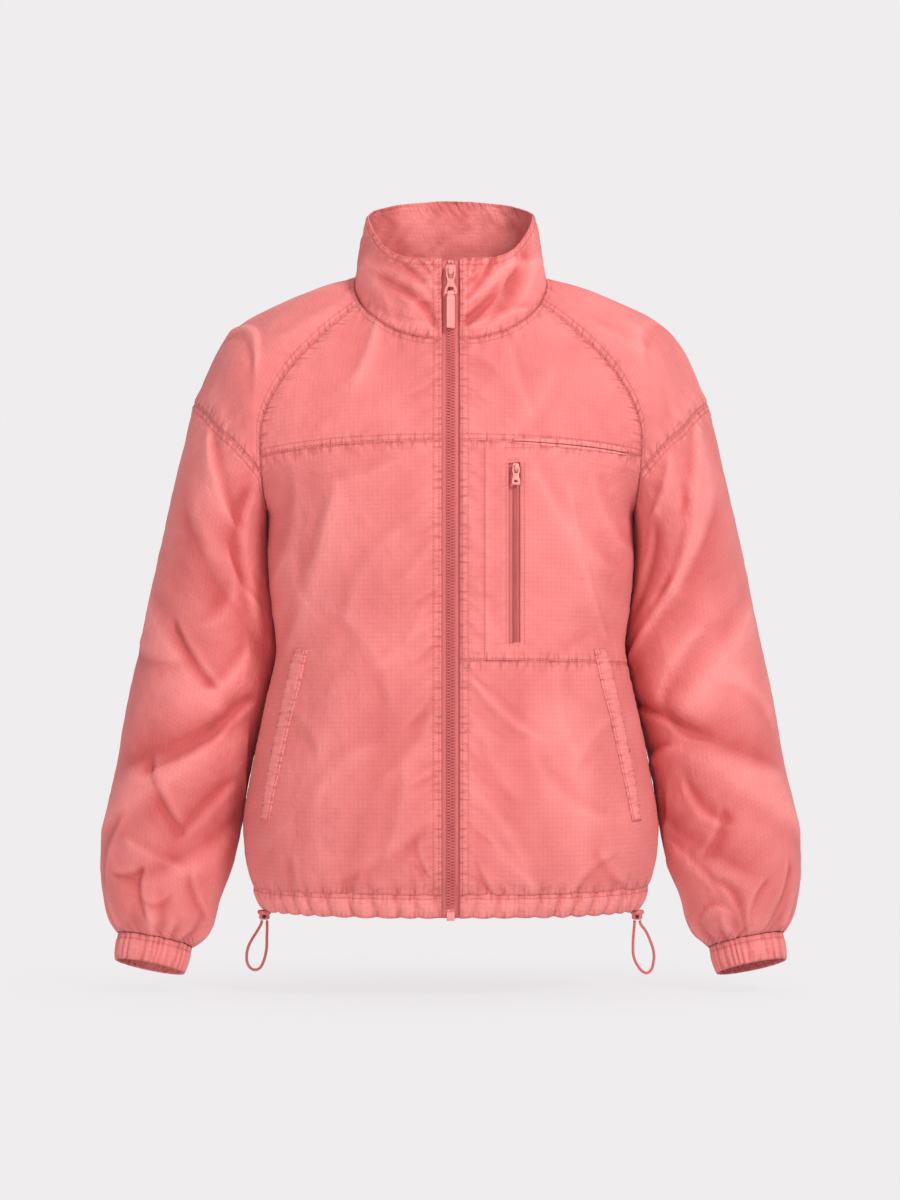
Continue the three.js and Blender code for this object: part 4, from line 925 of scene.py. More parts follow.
def add_chest_panel():
    """The chest panel has grid lines along the edges of the pocket zip's window."""
    w = CHEST_WINDOW
    edges = [w["x"] - w["half"], w["x"] + w["half"]]
    low, high = ROW["pocket"], ROW["yoke"]
    column = np.linspace(low, high, 500)
    middle = body_point("front", column, share_at(column, w["x"]))
    bottom, top = (float(np.interp(w[name], middle[:, 2], column)) for name in ("bottom", "top"))

    def upward(t):
        return body_point("front", t, 0.4 + 0 * t)

    parts = [even(upward, low, bottom, 2.1, 1.4), even(upward, bottom, top, 2.1, 1.2),
             even(upward, top, high, 2.1, 1.2)]
    ups = np.concatenate([parts[0], parts[1][1:], parts[2][1:]])
    counts = (26, 6, 54)
    steps = np.concatenate([np.linspace(0, 1, counts[0] + 1), 1 + np.linspace(0, 1, counts[1] + 1)[1:],
                            2 + np.linspace(0, 1, counts[2] + 1)[1:]])

    def surface(up, step):
        first, second = share_at(up[:, 0], edges[0])[:, None], share_at(up[:, 0], edges[1])[:, None]
        near = first * (1 - (1 - np.clip(step, 0, 1)) ** 1.08)
        share = near + (second - first) * np.clip(step - 1, 0, 1) + (1 - second) * np.clip(step - 2, 0, 1)
        return body_point("front", up, share)

    cloth = Cloth(surface, ups, steps, side=1)
    beside = np.maximum(np.abs(cloth.x - w["x"]) - w["half"], 0)
    beyond = np.maximum(np.maximum(w["bottom"] - cloth.z, cloth.z - w["top"]), 0)
    away = np.hypot(beside, beyond)
    height = front_relief(cloth, "right", low, high) * np.clip(0.25 + away / 10, 0, 1)
    height += seam(away, cloth.z, 0.7, 5.5, rows=(2.2, 8), wave=9, reach=16)
    pleat = cloth.x - PLEAT_AT
    height += 0.7 * np.clip(pleat / 0.8, -1, 1) * np.exp(-((pleat / 5) ** 2))
    height += seam(np.abs(pleat), cloth.z, 0.6, 6.6, rows=(0,), wave=9, reach=12)
    cloth.raise_by(height)
    inside = (away == 0) & (cloth.across >= 1) & (cloth.across <= 2) & (cloth.up >= bottom) & (cloth.up <= top)
    name = "chest_panel_right"
    piece = thicken(added(name + "_cloth", mesh_of(name + "_cloth", cloth, skip=inside), [name], material=ripstop))
    return piece, cloth


# %% [markdown]
# The back is one piece, cut wider than the body, so its folds fall from the shoulders and draw in
# above the hem. It doesn't show in the photograph, and its folds are like those that do.

# %% Back
BACK_FOLDS = [
    (105, -200, 78, -470, 24, 3.4, 8), (38, -300, 30, -570, 20, -2.8, 5), (-96, -210, -84, -500, 24, 3.2, -7),
    (-30, -240, -46, -560, 20, -2.6, 5), (140, -330, 128, -560, 18, -2.6, 4), (-138, -340, -126, -565, 18, -2.8, 4),
    (150, -190, 168, -300, 9, 2.0, 5), (-152, -196, -168, -310, 9, 1.9, -5), (60, -470, 92, -572, 9, 1.8, 6),
    (-64, -440, -98, -566, 10, 1.9, -6), (6, -420, 14, -574, 8, 1.5, 4), (24, -40, 60, -120, 12, 1.4, 5),
    (-30, -36, -66, -126, 12, 1.3, -5), (120, -420, 160, -520, 8, 1.5, 5), (-116, -400, -158, -512, 8, 1.4, -5),
    (-12, -150, 10, -230, 14, 1.0, 6), (92, -330, 130, -400, 8, -1.2, 4), (-90, -330, -128, -396, 8, -1.1, 4),
]


def back_point(row, across):
    made = body_point("back", row, np.abs(across))
    made[..., 0] *= np.where(across < 0, -1, 1)
    return made


def add_back():
    across = even(lambda t: back_point(9 + 0 * t, t), -1, 1, 3.4, 1.6)[::-1]
    ups = even(lambda t: back_point(t, 0.4 + 0 * t), 0, ROW["neck"], 3.3, 1.6)
    c = Cloth(back_point, ups, across)
    height = folds(BACK_FOLDS, c.x, c.z)
    height += 0.6 * ruffle(c.x, 0.6 * c.z, 28, 21.3) + 0.3 * ruffle(c.x - 0.4 * c.z, c.z, 14, 23.9)
    height *= np.clip(np.minimum(c.from_first, c.to_last) / 12, 0, 1)
    for distance, seed in ((c.from_first, 31.5), (c.to_last, 33.5)):
        height += seam(distance, c.from_foot, 0.75, seed, rows=(1.6, 7))
    height += 1.7 * hem_gathers(np.abs(c.across), c.from_foot, "back", 35.5) * np.clip(0.3 + c.from_foot / 5, 0, 1)
    height += seam(c.to_top, c.from_first, 0.6, 37.5, rows=(1.4, 6))
    c.raise_by(height)
    return thicken(added("back_cloth", mesh_of("back_cloth", c), ["back"], material=ripstop)), c


# %% [markdown]
# A raglan shoulder is one panel from the neck to the dropped seam on the arm. It arches from the
# front raglan seam, over the shoulder, to the back one, so it is laid as arches between those seams.

# %% Shoulders
SHOULDER_FOLDS = {
    "right": [(205, -10, 186, -62, 7, 2.4, 5), (212, -4, 190, -30, 8, -1.4, 3), (228, 60, 196, 70, 10, 1.6, 3),
              (150, -60, 190, -66, 8, 1.0, 3), (238, -50, 222, -70, 6, 1.5, -2), (170, 30, 210, 40, 12, 1.4, 4)],
    "left": [(216, -12, 190, -70, 6, 3.4, 6), (210, -10, 186, -60, 7, -2.0, 5), (226, 56, 198, 72, 10, 1.6, -3),
             (120, -40, 160, -62, 9, 1.1, 3), (236, -44, 224, -72, 6, 1.4, 2), (170, 34, 214, 46, 12, 1.3, -4)],
}


def add_shoulder(where):
    seed = SEEDS[where] + 40
    ups = even(lambda t: shoulder_point(t, 0.5 + 0 * t), 0, SHOULDER_ROWS, 2.6, 1.6)
    shares = even(lambda t: shoulder_point(3.0 + 0 * t, t), 0, 1, 2.6, 1.6)
    c = Cloth(shoulder_point, ups, shares, side=SIDES[where])
    height = folds(SHOULDER_FOLDS[where], c.x, c.y)
    height += 0.5 * ruffle(c.x, c.y, 24, seed) + 0.3 * ruffle(c.x + c.y, c.y, 12, seed + 1)
    height *= np.clip(np.minimum(np.minimum(c.from_first, c.to_last), c.from_foot) / 11, 0, 1)
    height += seam(c.from_first, c.from_foot, 1.0, seed + 2, rows=(1.8, 7), wave=9)
    height += seam(c.to_last, c.from_foot, 0.8, seed + 3, rows=(1.6,))
    height += seam(c.from_foot, c.from_first, 1.4, seed + 4, rows=(1.6,), wave=10, reach=20)
    height += seam(c.to_top, c.from_first, 0.9, seed + 5, rows=(1.4, 6))
    c.raise_by(height)
    name = "shoulder_" + where
    return thicken(added(name + "_cloth", mesh_of(name + "_cloth", c), [name], material=ripstop)), c


# %% [markdown]
# A sleeve is a tube, and its one hidden seam runs up under the arm. Its folds run round the elbow
# and gather into an elastic cuff, so each ring is a closed loop of points whose relief meets itself.
# A fold's angle is in degrees from the outer side, with 90 at the front, and z is its ring's height.

# %% Sleeves and cuffs
SLEEVE_FOLDS = {
    "right": [
        (178, -222, 184, -330, 17, 4.3, 0),
        (60, -250, 130, -330, 17, -3.4, 0), (35, -345, 105, -405, 18, 3.2, 0), (120, -432, 45, -478, 16, -3.8, 0),
        (70, -500, 20, -545, 17, 3, 0), (150, -520, 95, -575, 15, -3.2, 0), (230, -330, 300, -395, 18, -3.6, 0),
        (215, -425, 290, -455, 17, 3.4, 0), (250, -500, 315, -560, 17, -3.4, 0),
        (50, -184, 84, -225, 9, 4.5, 2), (81, -221, 111, -292, 9, 5.5, 4), (111, -292, 157, -348, 8, 5.0, 2),
        (94, -186, 121, -204, 6, 3.4, 2), (165, -402, 127, -421, 6, -4.4, 3), (127, -421, 103, -441, 6, -4.0, -2),
        (178, -456, 137, -443, 7, -3.6, 2), (122, -489, 97, -525, 7, -4.0, -4), (97, -525, 116, -557, 6, -3.6, 3),
        (136, -614, 115, -613, 5, -3.0, 3), (110, -593, 94, -639, 5, -4.0, 5), (72, -601, 86, -635, 5, -3.6, -3),
        (41, -590, 62, -643, 5, -3.6, 4), (130, -390, 95, -348, 9, 2.6, 3), (130, -230, 147, -292, 9, -3.6, 2),
        (150, -540, 120, -585, 7, -2.6, 4), (60, -400, 30, -440, 8, 2.0, 5), (150, -500, 175, -560, 8, 2.6, 3),
        (200, -260, 250, -330, 8, 3.2, 4), (300, -420, 340, -480, 7, -3.2, 3), (210, -480, 260, -520, 6, -3.2, 3),
        (280, -560, 300, -620, 5, -3.2, 3), (230, -590, 240, -635, 5, -3.2, -3), (330, -300, 350, -380, 8, 3.0, 4),
    ],
    "left": [
        (178, -222, 184, -330, 17, 4.3, 0),
        (60, -250, 130, -330, 17, -3.0, 0), (35, -345, 105, -405, 18, 3.0, 0), (120, -432, 45, -478, 16, -3.6, 0),
        (70, -500, 20, -545, 17, 2.8, 0), (150, -520, 95, -575, 15, -3, 0), (230, -330, 300, -395, 18, -3.4, 0),
        (215, -425, 290, -455, 17, 3.2, 0), (250, -500, 315, -560, 17, -3.2, 0),
        (61, -186, 110, -222, 8, 4.5, 3), (116, -200, 126, -297, 12, -4.8, 3), (65, -348, 103, -390, 6, -4.6, 3),
        (140, -399, 117, -431, 7, -4.8, 2), (117, -431, 66, -482, 7, -4.4, -3), (66, -482, 94, -530, 7, -4.0, 3),
        (137, -484, 104, -532, 8, -3.6, 3), (50, -595, 74, -587, 5, -3.4, 3), (74, -587, 78, -630, 5, -4.0, 3),
        (85, -620, 101, -613, 5, -3.2, 3), (121, -586, 148, -618, 5, -3.0, 3), (8, -377, 64, -381, 9, -2.6, 3),
        (110, -262, 133, -296, 7, 3.0, 3), (106, -395, 127, -359, 9, 3.6, 4), (96, -330, 112, -300, 9, 2.4, 3),
        (60, -560, 104, -574, 6, 2.0, 2), (40, -540, 24, -600, 7, -2.4, 3), (150, -440, 172, -500, 8, 2.6, 3),
        (204, -270, 246, -338, 8, 3.2, -4), (296, -410, 336, -474, 7, -3.2, 3), (214, -470, 258, -514, 6, -3.2, -3),
        (284, -566, 296, -620, 5, -3.2, 3), (226, -586, 240, -635, 5, -3.2, 3), (326, -310, 350, -372, 8, 3.0, -4),
    ],
}
CUFF_WAVES = 26


def closed(height, turn):
    """Brings the last column of a tube onto its first."""
    t = np.clip((turn - 0.9) / 0.1, 0, 1)
    return height + (height[:, :1] - height[:, -1:]) * t * t * (3 - 2 * t)


def cuff_gathers(turn, seed):
    """Ribs round the wrist, uneven but closing on themselves."""
    swing = CUFF_WAVES * turn + 0.55 * np.sin(2 * np.pi * turn * 3 + seed)
    swing = swing + 0.35 * np.sin(2 * np.pi * turn * 7 + 2 * seed)
    tall = 0.8 + 0.2 * np.sin(2 * np.pi * turn * 5 + seed)
    return (2 * np.abs(np.sin(np.pi * swing)) ** 0.7 - 1.1) * tall


def add_sleeve(where):
    seed = SEEDS[where] + 60
    ups = even(lambda t: sleeve_point(t, 0.25 + 0 * t), 0, 1, 3.0, 1.6)
    turns = np.linspace(0, 1, 149)
    c = Cloth(sleeve_point, ups, turns, tube=True, side=SIDES[where])
    ring = sleeve_height(c.up)
    degrees, stretch = 360 * c.across, np.radians(read(SLEEVE, "half_depth", ring)).mean()
    height = 0.85 * sum(folds(SLEEVE_FOLDS[where], degrees + 360 * k, ring, stretch) for k in (-1, 0, 1))
    round_arm = stretch * degrees
    height += 0.6 * ruffle(round_arm, 0.6 * c.z, 24, seed) + 0.35 * ruffle(round_arm + c.z, c.z, 12, seed + 1)
    height = closed(height, c.across) * np.clip(c.from_foot / 14, 0, 1) * (0.35 + 0.65 * np.clip(c.to_top / 60, 0, 1))
    drop = np.minimum(np.clip((c.across - 1 / 3) / 0.03, 0, 1), np.clip((2 / 3 - c.across) / 0.03, 0, 1))
    puckers = seam(c.from_foot, c.from_first, 1.5, seed + 2, rows=(1.6, 6.5), wave=9, reach=20)
    height += closed(puckers, c.across) * (1 - 0.4 * drop)
    tall = 44 + 22 * np.sin(2 * np.pi * c.across * 5 + seed) + 8 * np.sin(2 * np.pi * c.across * 13)
    ribs = cuff_gathers(c.across, seed) * fading(c.to_top, 16)
    long_ribs = np.sin(2 * np.pi * (11 * c.across + 0.4 * np.sin(2 * np.pi * 3 * c.across + seed)))
    height += (1.3 * ribs + 2.2 * long_ribs * fading(c.to_top, tall)) * (0.25 + 0.75 * np.clip(c.to_top / 12, 0, 1))
    c.raise_by(height)
    name = "sleeve_" + where
    return thicken(added(name + "_cloth", mesh_of(name + "_cloth", c), [name], material=ripstop)), c


def add_cuff(where):
    seed = SEEDS[where] + 60
    ups = np.linspace(0, 1, 15)
    turns = np.linspace(0, 1, 209)
    c = Cloth(cuff_point, ups, turns, tube=True, side=SIDES[where])
    swell = np.sin(np.pi * c.up) ** 0.6
    height = cuff_gathers(c.across, seed) * (0.7 + 1.1 * swell) + 1.0 * swell
    height -= 0.8 * np.exp(-((c.from_foot - 5.5) / 1.3) ** 2)
    c.raise_by(height)
    name = "cuff_" + where
    return thicken(added(name + "_cloth", mesh_of(name + "_cloth", c), [name], material=ripstop), 1.3), c


# %% [markdown]
# The hem is a casing, a folded band with the cord inside. It carries the same gathers as the cloth
# above it, deepest half way down, slanting a little as the cord pulls. Its top edge is tucked
# behind the panels, so no light shows through the seam.

# %% Hem


def add_hem(name, half, where):
    side = SIDES.get(where, 1)
    if half == "front":
        acrosses = even(lambda t: hem_point("front", 0.5 + 0 * t, t), 0, 1, 1.9, 1.4)
        seed = SEEDS[where]
    else:
        right = even(lambda t: hem_point("back", 0.5 + 0 * t, t), 0, 1, 1.9, 1.9)
        acrosses = np.concatenate([right[::-1], -right[1:]])
        seed = 35.5

    def surface(up, across):
        made = hem_point(half, up, np.abs(across))
        made[..., 0] *= np.where(across < 0, -1, 1)
        return made

    c = Cloth(surface, np.linspace(0, 1, 15), acrosses, side=side)
    swell = np.sin(np.pi * np.clip(c.up, 0, 1)) ** 0.7
    slant = 0.012 * (1 - c.up) * np.sign(c.across + 1e-9)
    waves = hem_gathers(np.abs(c.across + slant), 0 * c.up, half, seed)
    height = 2.6 * waves * (0.35 + 0.75 * swell) + 1.8 * swell + 0.3 * ruffle(c.x, c.z, 7, seed + 8) * swell
    height -= 0.9 * np.exp(-((c.to_top - 4.0) / 1.3) ** 2)
    ends = np.minimum(c.from_first, c.to_last) if half == "front" else c.from_first + 20
    height *= 0.3 + 0.7 * np.clip(ends / 9, 0, 1)
    tuck = np.clip((c.up - 0.88) / 0.12, 0, 1)
    c.raise_by(height - 1.3 * tuck)
    c.points[..., 2] += 2.4 * tuck - 1.1 * waves * (1 - c.up) ** 2
    return thicken(added(name + "_cloth", mesh_of(name + "_cloth", c), [name], material=ripstop), 1.3), c


# %% [markdown]
# The collar is one band round the neck that stands up by its own stiffness. Its folds point at the
# zip, where the band is held, and are small and soft at the back. Puckers run along its rim.

# %% Collar
COLLAR_FOLDS = [
    (16, -34, 62, 10, 9, -3.4, 4), (22, -40, 50, -6, 6, 2.6, 3), (18, -12, 40, 20, 5, -2.8, 2),
    (30, -2, 74, 22, 10, 2.2, -4), (60, -26, 84, 20, 10, 1.8, 4), (18, -44, 34, -36, 4, 2.0, 1),
    (22, 12, 25, 23, 3, -2.0, 0), (15, 14, 16, 24, 3, -1.6, 0), (36, -46, 70, -26, 6, 1.8, -3),
    (12, -24, 26, -16, 3.5, -1.6, 1), (12, 0, 24, 6, 3.5, -1.5, 1),
]


def add_collar():
    half = even(lambda t: collar_point(0.5 + 0 * t, t), -1, 0, 2.1, 1.3)
    turns = np.concatenate([half, -half[-2::-1]])
    c = Cloth(collar_point, spaced(80, 2.1, 1.3) / 80, turns)
    fold_x = np.abs(c.x)
    front = np.clip(-c.y / 20, 0, 1)
    others = [(a, b, p + 4, q - 3, width, 0.85 * rise, -bow) for a, b, p, q, width, rise, bow in COLLAR_FOLDS]
    left = folds(others, fold_x, c.z)
    height = front * np.where(c.x > 0, 1.4 * folds(COLLAR_FOLDS, fold_x, c.z), left)
    behind = 1 + 1.3 * np.clip(c.y / 20, 0, 1)
    soft, fine = ruffle(c.from_first, 0.6 * c.z, 20, 71.1), ruffle(c.from_first + c.z, c.z, 10, 72.2)
    height += behind * (0.9 * soft + 0.5 * fine)
    ends = np.minimum(c.from_first, c.to_last)
    height *= np.clip(ends / 9, 0.1, 1) * np.clip(c.from_foot / 8, 0, 1)
    height += seam(ends, c.z, 1.3, 73.3, rows=(2.6, 8.2), wave=8, reach=20)
    height += seam(c.from_foot, c.from_first, 0.8, 74.4, rows=(1.4,))
    height += seam(c.to_top, c.from_first, 1.2, 75.5, rows=(1.2, 6.5), wave=10, reach=22)
    c.raise_by(height)
    return thicken(added("collar_cloth", mesh_of("collar_cloth", c), ["collar"], material=ripstop), 1.3), c


# %% [markdown]
# The panels are made in the order in which they would be sewn: the fronts and back, the shoulders
# with their sleeves and cuffs, and at last the hem and the collar.

# %% Cloth pieces
cloths = {}
for where in SIDES:
    cloths["yoke_" + where] = add_front("yoke_" + where, where, ROW["yoke"], ROW["neck"])
cloths["front_left"] = add_front("front_left", "left", ROW["hem"], ROW["yoke"])
cloths["front_right_lower"] = add_front("front_right_lower", "right", ROW["hem"], ROW["pocket"])
cloths["chest_panel_right"] = add_chest_panel()
cloths["back"] = add_back()
for where in SIDES:
    cloths["shoulder_" + where] = add_shoulder(where)
    cloths["sleeve_" + where] = add_sleeve(where)
    cloths["cuff_" + where] = add_cuff(where)
    cloths["hem_" + where] = add_hem("hem_" + where, "front", where)
cloths["hem_back"] = add_hem("hem_back", "back", None)
cloths["collar"] = add_collar()
for name, (piece, cloth) in cloths.items():
    print(name, "grid", cloth.points.shape[:2], "relief", round(float(np.ptp(cloth.relief)), 1), "mm")

# %% [markdown]
# The main zip has moulded teeth on two woven tapes, with a box at its foot and stops at its top.
# The teeth are small bevelled boxes, because there are hundreds of them. Flat parts are drawn as
# outlines with their holes, and are given their thickness with a rolled edge.

# %% Main zip
ZIP = {"half": 3.9, "tape_to": 12.5, "top": 19, "foot": -606.2, "box": (-619.5, -606.8), "pitch": 2.9}


def front_line(z):
    """How far back the fronts' outer face lies along the zip."""
    z = np.asarray(z, float)
    collar = -NECK["front"] + (NECK["front"] - RIM["front"]) * (z - NECK_FRONT) / (RIM["front_height"] - NECK_FRONT)
    return np.where(z < NECK_FRONT, -read(TORSO, "front", z), collar)


def rounded(points, radius, steps=4):
    """An outline with each corner turned on a curve."""
    made = []
    for k, corner in enumerate(points):
        corner = Vector(corner)
        for other, ahead in ((Vector(points[k - 1]), False), (Vector(points[(k + 1) % len(points)]), True)):
            reach = min(radius, (other - corner).length * 0.45)
            edge = corner + (other - corner).normalized() * reach
            if not ahead:
                start = edge
        for t in np.linspace(0, 1, steps):
            made.append(start.lerp(corner, t).lerp(corner.lerp(edge, t), t))
    return made


def ring(radius, steps=20):
    return [Vector((radius * math.cos(2 * math.pi * k / steps), radius * math.sin(2 * math.pi * k / steps)))
            for k in range(steps)]


def plate(outlines, thickness, bevel, frame):
    """A flat plate from outlines, the first its edge and the rest its holes, in millimetres."""
    curve = bpy.data.curves.new("outline", "CURVE")
    curve.dimensions = "2D"
    curve.fill_mode = "BOTH"
    curve.extrude = thickness / 2 - bevel
    curve.bevel_depth = bevel
    curve.bevel_resolution = 2
    curve.offset = -bevel
    for outline in outlines:
        spline = curve.splines.new("POLY")
        spline.points.add(len(outline) - 1)
        for point, (x, y) in zip(spline.points, outline):
            point.co = (x, y, 0, 1)
        spline.use_cyclic_u = True
    drawn = bpy.data.objects.new("outline", curve)
    bpy.context.scene.collection.objects.link(drawn)
    mesh = bpy.data.meshes.new_from_object(drawn.evaluated_get(bpy.context.evaluated_depsgraph_get()))
    bpy.data.objects.remove(drawn)
    bpy.data.curves.remove(curve)
    mesh.transform(Matrix.Diagonal((MM, MM, MM, 1)))
    mesh.transform(frame)
    return mesh


def joined(name, meshes):
    bm = bmesh.new()
    for mesh in meshes:
        bm.from_mesh(mesh)
        bpy.data.meshes.remove(mesh)
    bmesh.ops.remove_doubles(bm, verts=bm.verts, dist=0.000005)
    bmesh.ops.recalc_face_normals(bm, faces=bm.faces)
    for face in bm.faces:
        face.smooth = True
    made = bpy.data.meshes.new(name)
    bm.to_mesh(made)
    bm.free()
    made.materials.clear()
    return made


def basis(place, right, inward):
    """The frame of a slider: x along the cloth, y into it and z up it, from millimetres."""
    right, inward = Vector(right).normalized(), Vector(inward).normalized()
    up = right.cross(inward)
    return Matrix.Translation(Vector(place) * MM) @ Matrix((right, inward, up)).transposed().to_4x4()


FACING = Matrix(((1, 0, 0, 0), (0, 0, 1, 0), (0, 1, 0, 0), (0, 0, 0, 1)))
EDGEWAYS = Matrix(((0, 0, 1, 0), (1, 0, 0, 0), (0, 1, 0, 0), (0, 0, 0, 1)))


def shifted(frame, y=0.0, z=0.0):
    return frame @ Matrix.Translation((0, y * MM, z * MM))


def add_blocks(bm, blocks, bevel, segments=2):
    """Boxes with rounded edges: centre, size and turn of each."""
    for centre, size, turn in blocks:
        matrix = Matrix.Translation(Vector(centre) * MM) @ turn @ Matrix.Diagonal((*(Vector(size) * MM), 1))
        bmesh.ops.create_cube(bm, size=1, matrix=matrix)
    if bevel:
        bmesh.ops.bevel(bm, geom=bm.edges[:], offset=bevel * MM, segments=segments, profile=0.5,
                        affect="EDGES", material=-1)


def mesh_from(bm, name):
    for face in bm.faces:
        face.smooth = True
    mesh = bpy.data.meshes.new(name)
    bm.to_mesh(mesh)
    bm.free()
    return mesh


def leaning(z):
    """The turn of a tooth that stands square to the front line."""
    slope = float(front_line(z + 4) - front_line(z - 4)) / 8
    return Matrix.Rotation(-math.atan(slope), 4, "X")


def add_main_chain():
    bm = bmesh.new()
    teeth = []
    for side in (-1, 1):
        for z in np.arange(ZIP["foot"] + 1 + (side > 0) * ZIP["pitch"] / 2, ZIP["top"], ZIP["pitch"]):
            y = float(front_line(z))
            teeth.append(((side * 1.55, y + 1.75, z), (4.5, 2.7, 1.5), leaning(z)))
            teeth.append(((side * 3.2, y + 1.9, z), (1.3, 3.1, 2.1), leaning(z)))
    add_blocks(bm, teeth, 0.32, 1)
    return added("zip_teeth", mesh_from(bm, "teeth"), ["zip_chain"], material=zip_nylon)


def add_tape(where):
    heights = spaced(ZIP["top"] - 0.5 - HEM_BOTTOM + 4, 4, 4) + HEM_BOTTOM

    def surface(up, across):
        return xyz(across, front_line(up) + 2.3, up)

    acrosses = np.array([0.05, 1.4, 2.6, 3.4, 4.0, 4.6, 5.2, 6, 7, 8.2, 9.6, 11, 12.5])
    c = Cloth(surface, heights, acrosses, side=SIDES[where])
    c.raise_by(0.75 * np.exp(-((c.x - 4.6) / 0.55) ** 2) + 0.15 * ruffle(c.z, c.x, 18, 81 + SIDES[where]))
    name = "zip_tape_" + where
    woven = added(name + "_weave", mesh_of(name + "_weave", c), [name], material=zip_tape)
    return thicken(woven, 0.7), c


def add_zip_ends():
    low, high = ZIP["box"]
    y = float(front_line(HEM_BOTTOM))
    bm = bmesh.new()
    still = Matrix.Identity(4)
    add_blocks(bm, [
        ((0, y + 1.0, low + 4.3), (7.8, 4.2, 8.6), still), ((-2.1, y + 1.3, high - 1.9), (3.2, 3, 4), still),
        ((2.3, y + 1.3, high - 1.9), (2.6, 2.6, 4), still), ((0, y - 0.9, low + 4.2), (4.6, 0.7, 5.2), still),
    ], 0.5)
    box = added("zip_box_moulding", mesh_from(bm, "box"), ["zip_box"], material=painted_metal)
    bm = bmesh.new()
    y = float(front_line(ZIP["top"]))
    stops = [((-1.4, y + 1.1, 21.2), (2.4, 2.8, 3.8), still), ((1.4, y + 1.1, 21.0), (2.4, 2.8, 3.2), still)]
    add_blocks(bm, stops, 0.5)
    stop = added("zip_stops", mesh_from(bm, "stops"), ["zip_top_stop"], material=painted_metal)
    return box, stop


# %% [markdown]
# Each pull turns on its own top bar inside the slider's bridge.

# %% Sliders and pulls
MAIN_SLIDER = {"frame": ((0, -76.291, 11.681), (1, 0, 0), (0, 0.9993, -0.0379)),
               "wide": 10.6, "foot": 8, "high": 13, "deep": 3.2, "bridge": 4.2, "bar": 1.6, "arm": 1.2}
CHEST_SLIDER = {"frame": ((62.938, -124.581, -182.443), (0.990752, 0.130793, -0.036053), (-0.1346, 0.9811, -0.1393)),
                "wide": 7, "foot": 5.6, "high": 9, "deep": 2.2, "bridge": 2.6, "bar": 1.2, "arm": 0.9}
MAIN_PULL = {
    "edge": [(-6.3, -22.6), (6.3, -22.6), (5.9, -17.3), (3.4, -12.4), (3.4, -8.2), (4.7, -5), (4.7, 0.8),
             (-4.7, 0.8), (-4.7, -5), (-3.4, -8.2), (-3.4, -12.4), (-5.9, -17.3)],
    "ring": [(-2.7, -0.8), (2.7, -0.8), (2.7, -7.2), (-2.7, -7.2)],
    "eye": [(-2.4, -15.6), (2.4, -15.6), (4.3, -20.8), (-4.3, -20.8)],
    "bar": 1.6,
}
CHEST_PULL = {
    "edge": [(-4.1, -16.8), (4.1, -16.8), (4.0, -12), (3.0, -8.4), (3.0, -6.4), (3.7, -4), (3.7, 0.6),
             (-3.7, 0.6), (-3.7, -4), (-3.0, -6.4), (-3.0, -8.4), (-4.0, -12)],
    "ring": [(-1.8, -0.6), (1.8, -0.6), (1.8, -5.6), (-1.8, -5.6)],
    "eye": [(-1.8, -12.2), (1.8, -12.2), (1.8, -14.4), (-1.8, -14.4)],
    "bar": 1.2,
}
TAB = {"width": 8, "thick": 1.8, "length": 34, "top": 1.9, "ring_width": 6.4, "ring_in": 1.55, "ring_out": 2.5,
       "drop": -21.7}


def add_slider(name, sizes, node):
    frame = basis(*sizes["frame"])
    half = sizes["bar"] * math.sqrt(2) / 2 + 0.35
    outer = half + sizes["arm"]
    wide, foot, high = sizes["wide"] / 2, sizes["foot"] / 2, sizes["high"] / 2
    outline = [(-foot, -high), (foot, -high), (wide, high * 0.35), (wide * 0.8, high), (-wide * 0.8, high),
               (-wide, high * 0.35)]
    face = 0.3 * sizes["deep"]
    parts = [
        plate([rounded(outline, 1.6)], face * 1.2, 0.3, shifted(frame, half + face * 0.6) @ FACING),
        plate([rounded([(x * 0.9, z * 0.92) for x, z in outline], 1.4)], sizes["deep"] - face, 0.2,
              shifted(frame, half + face + (sizes["deep"] - face) / 2) @ FACING),
        plate([rounded([(-outer, -outer - 1), (half + 0.6, -outer - 1), (half + 0.6, outer + 1),
                        (-outer, outer + 1)], 1.5),
               rounded([(-half, -half - 0.6), (half, -half - 0.6), (half, half + 0.6), (-half, half + 0.6)], 0.7)],
              sizes["bridge"], 0.4, frame @ EDGEWAYS),
    ]
    return added(name, joined(name, parts), [node], material=painted_metal)


def add_pull(name, sizes, frame, node, body):
    outlines = [rounded(sizes["edge"], 1.4), rounded(sizes["ring"], 1.1), rounded(sizes["eye"], 0.8)]
    mesh = plate(outlines, sizes["bar"], 0.38, frame @ FACING)
    return added(name, joined(name, [mesh]), [node], body=body, material=painted_metal)


def add_tab():
    """The soft tab's loop goes round the lower bar of the pull's eye."""
    frame = shifted(basis(*MAIN_SLIDER["frame"]), 0, TAB["drop"])
    half = TAB["width"] / 2
    edge = [(-half, -TAB["length"]), (half, -TAB["length"]), (half, -4.6), (half - 0.7, -TAB["top"]),
            (-half + 0.7, -TAB["top"]), (-half, -4.6)]
    low, high = -TAB["length"] + 1.5, -7
    inset = [(-half + 1.3, low), (half - 1.3, low), (half - 1.3, high), (-half + 1.3, high)]
    parts = [
        plate([rounded(edge, 0.9)], TAB["thick"] - 0.5, 0.35, frame @ FACING),
        plate([rounded(edge, 0.9), rounded(inset, 1.0)], TAB["thick"], 0.3, frame @ FACING),
        plate([ring(TAB["ring_out"]), ring(TAB["ring_in"])], TAB["ring_width"], 0.3, frame @ EDGEWAYS),
    ]
    return added("zip_tab_soft", joined("zip_tab_soft", parts), ["zip_tab"], body="main_tab",
                 material=rubber_tab)


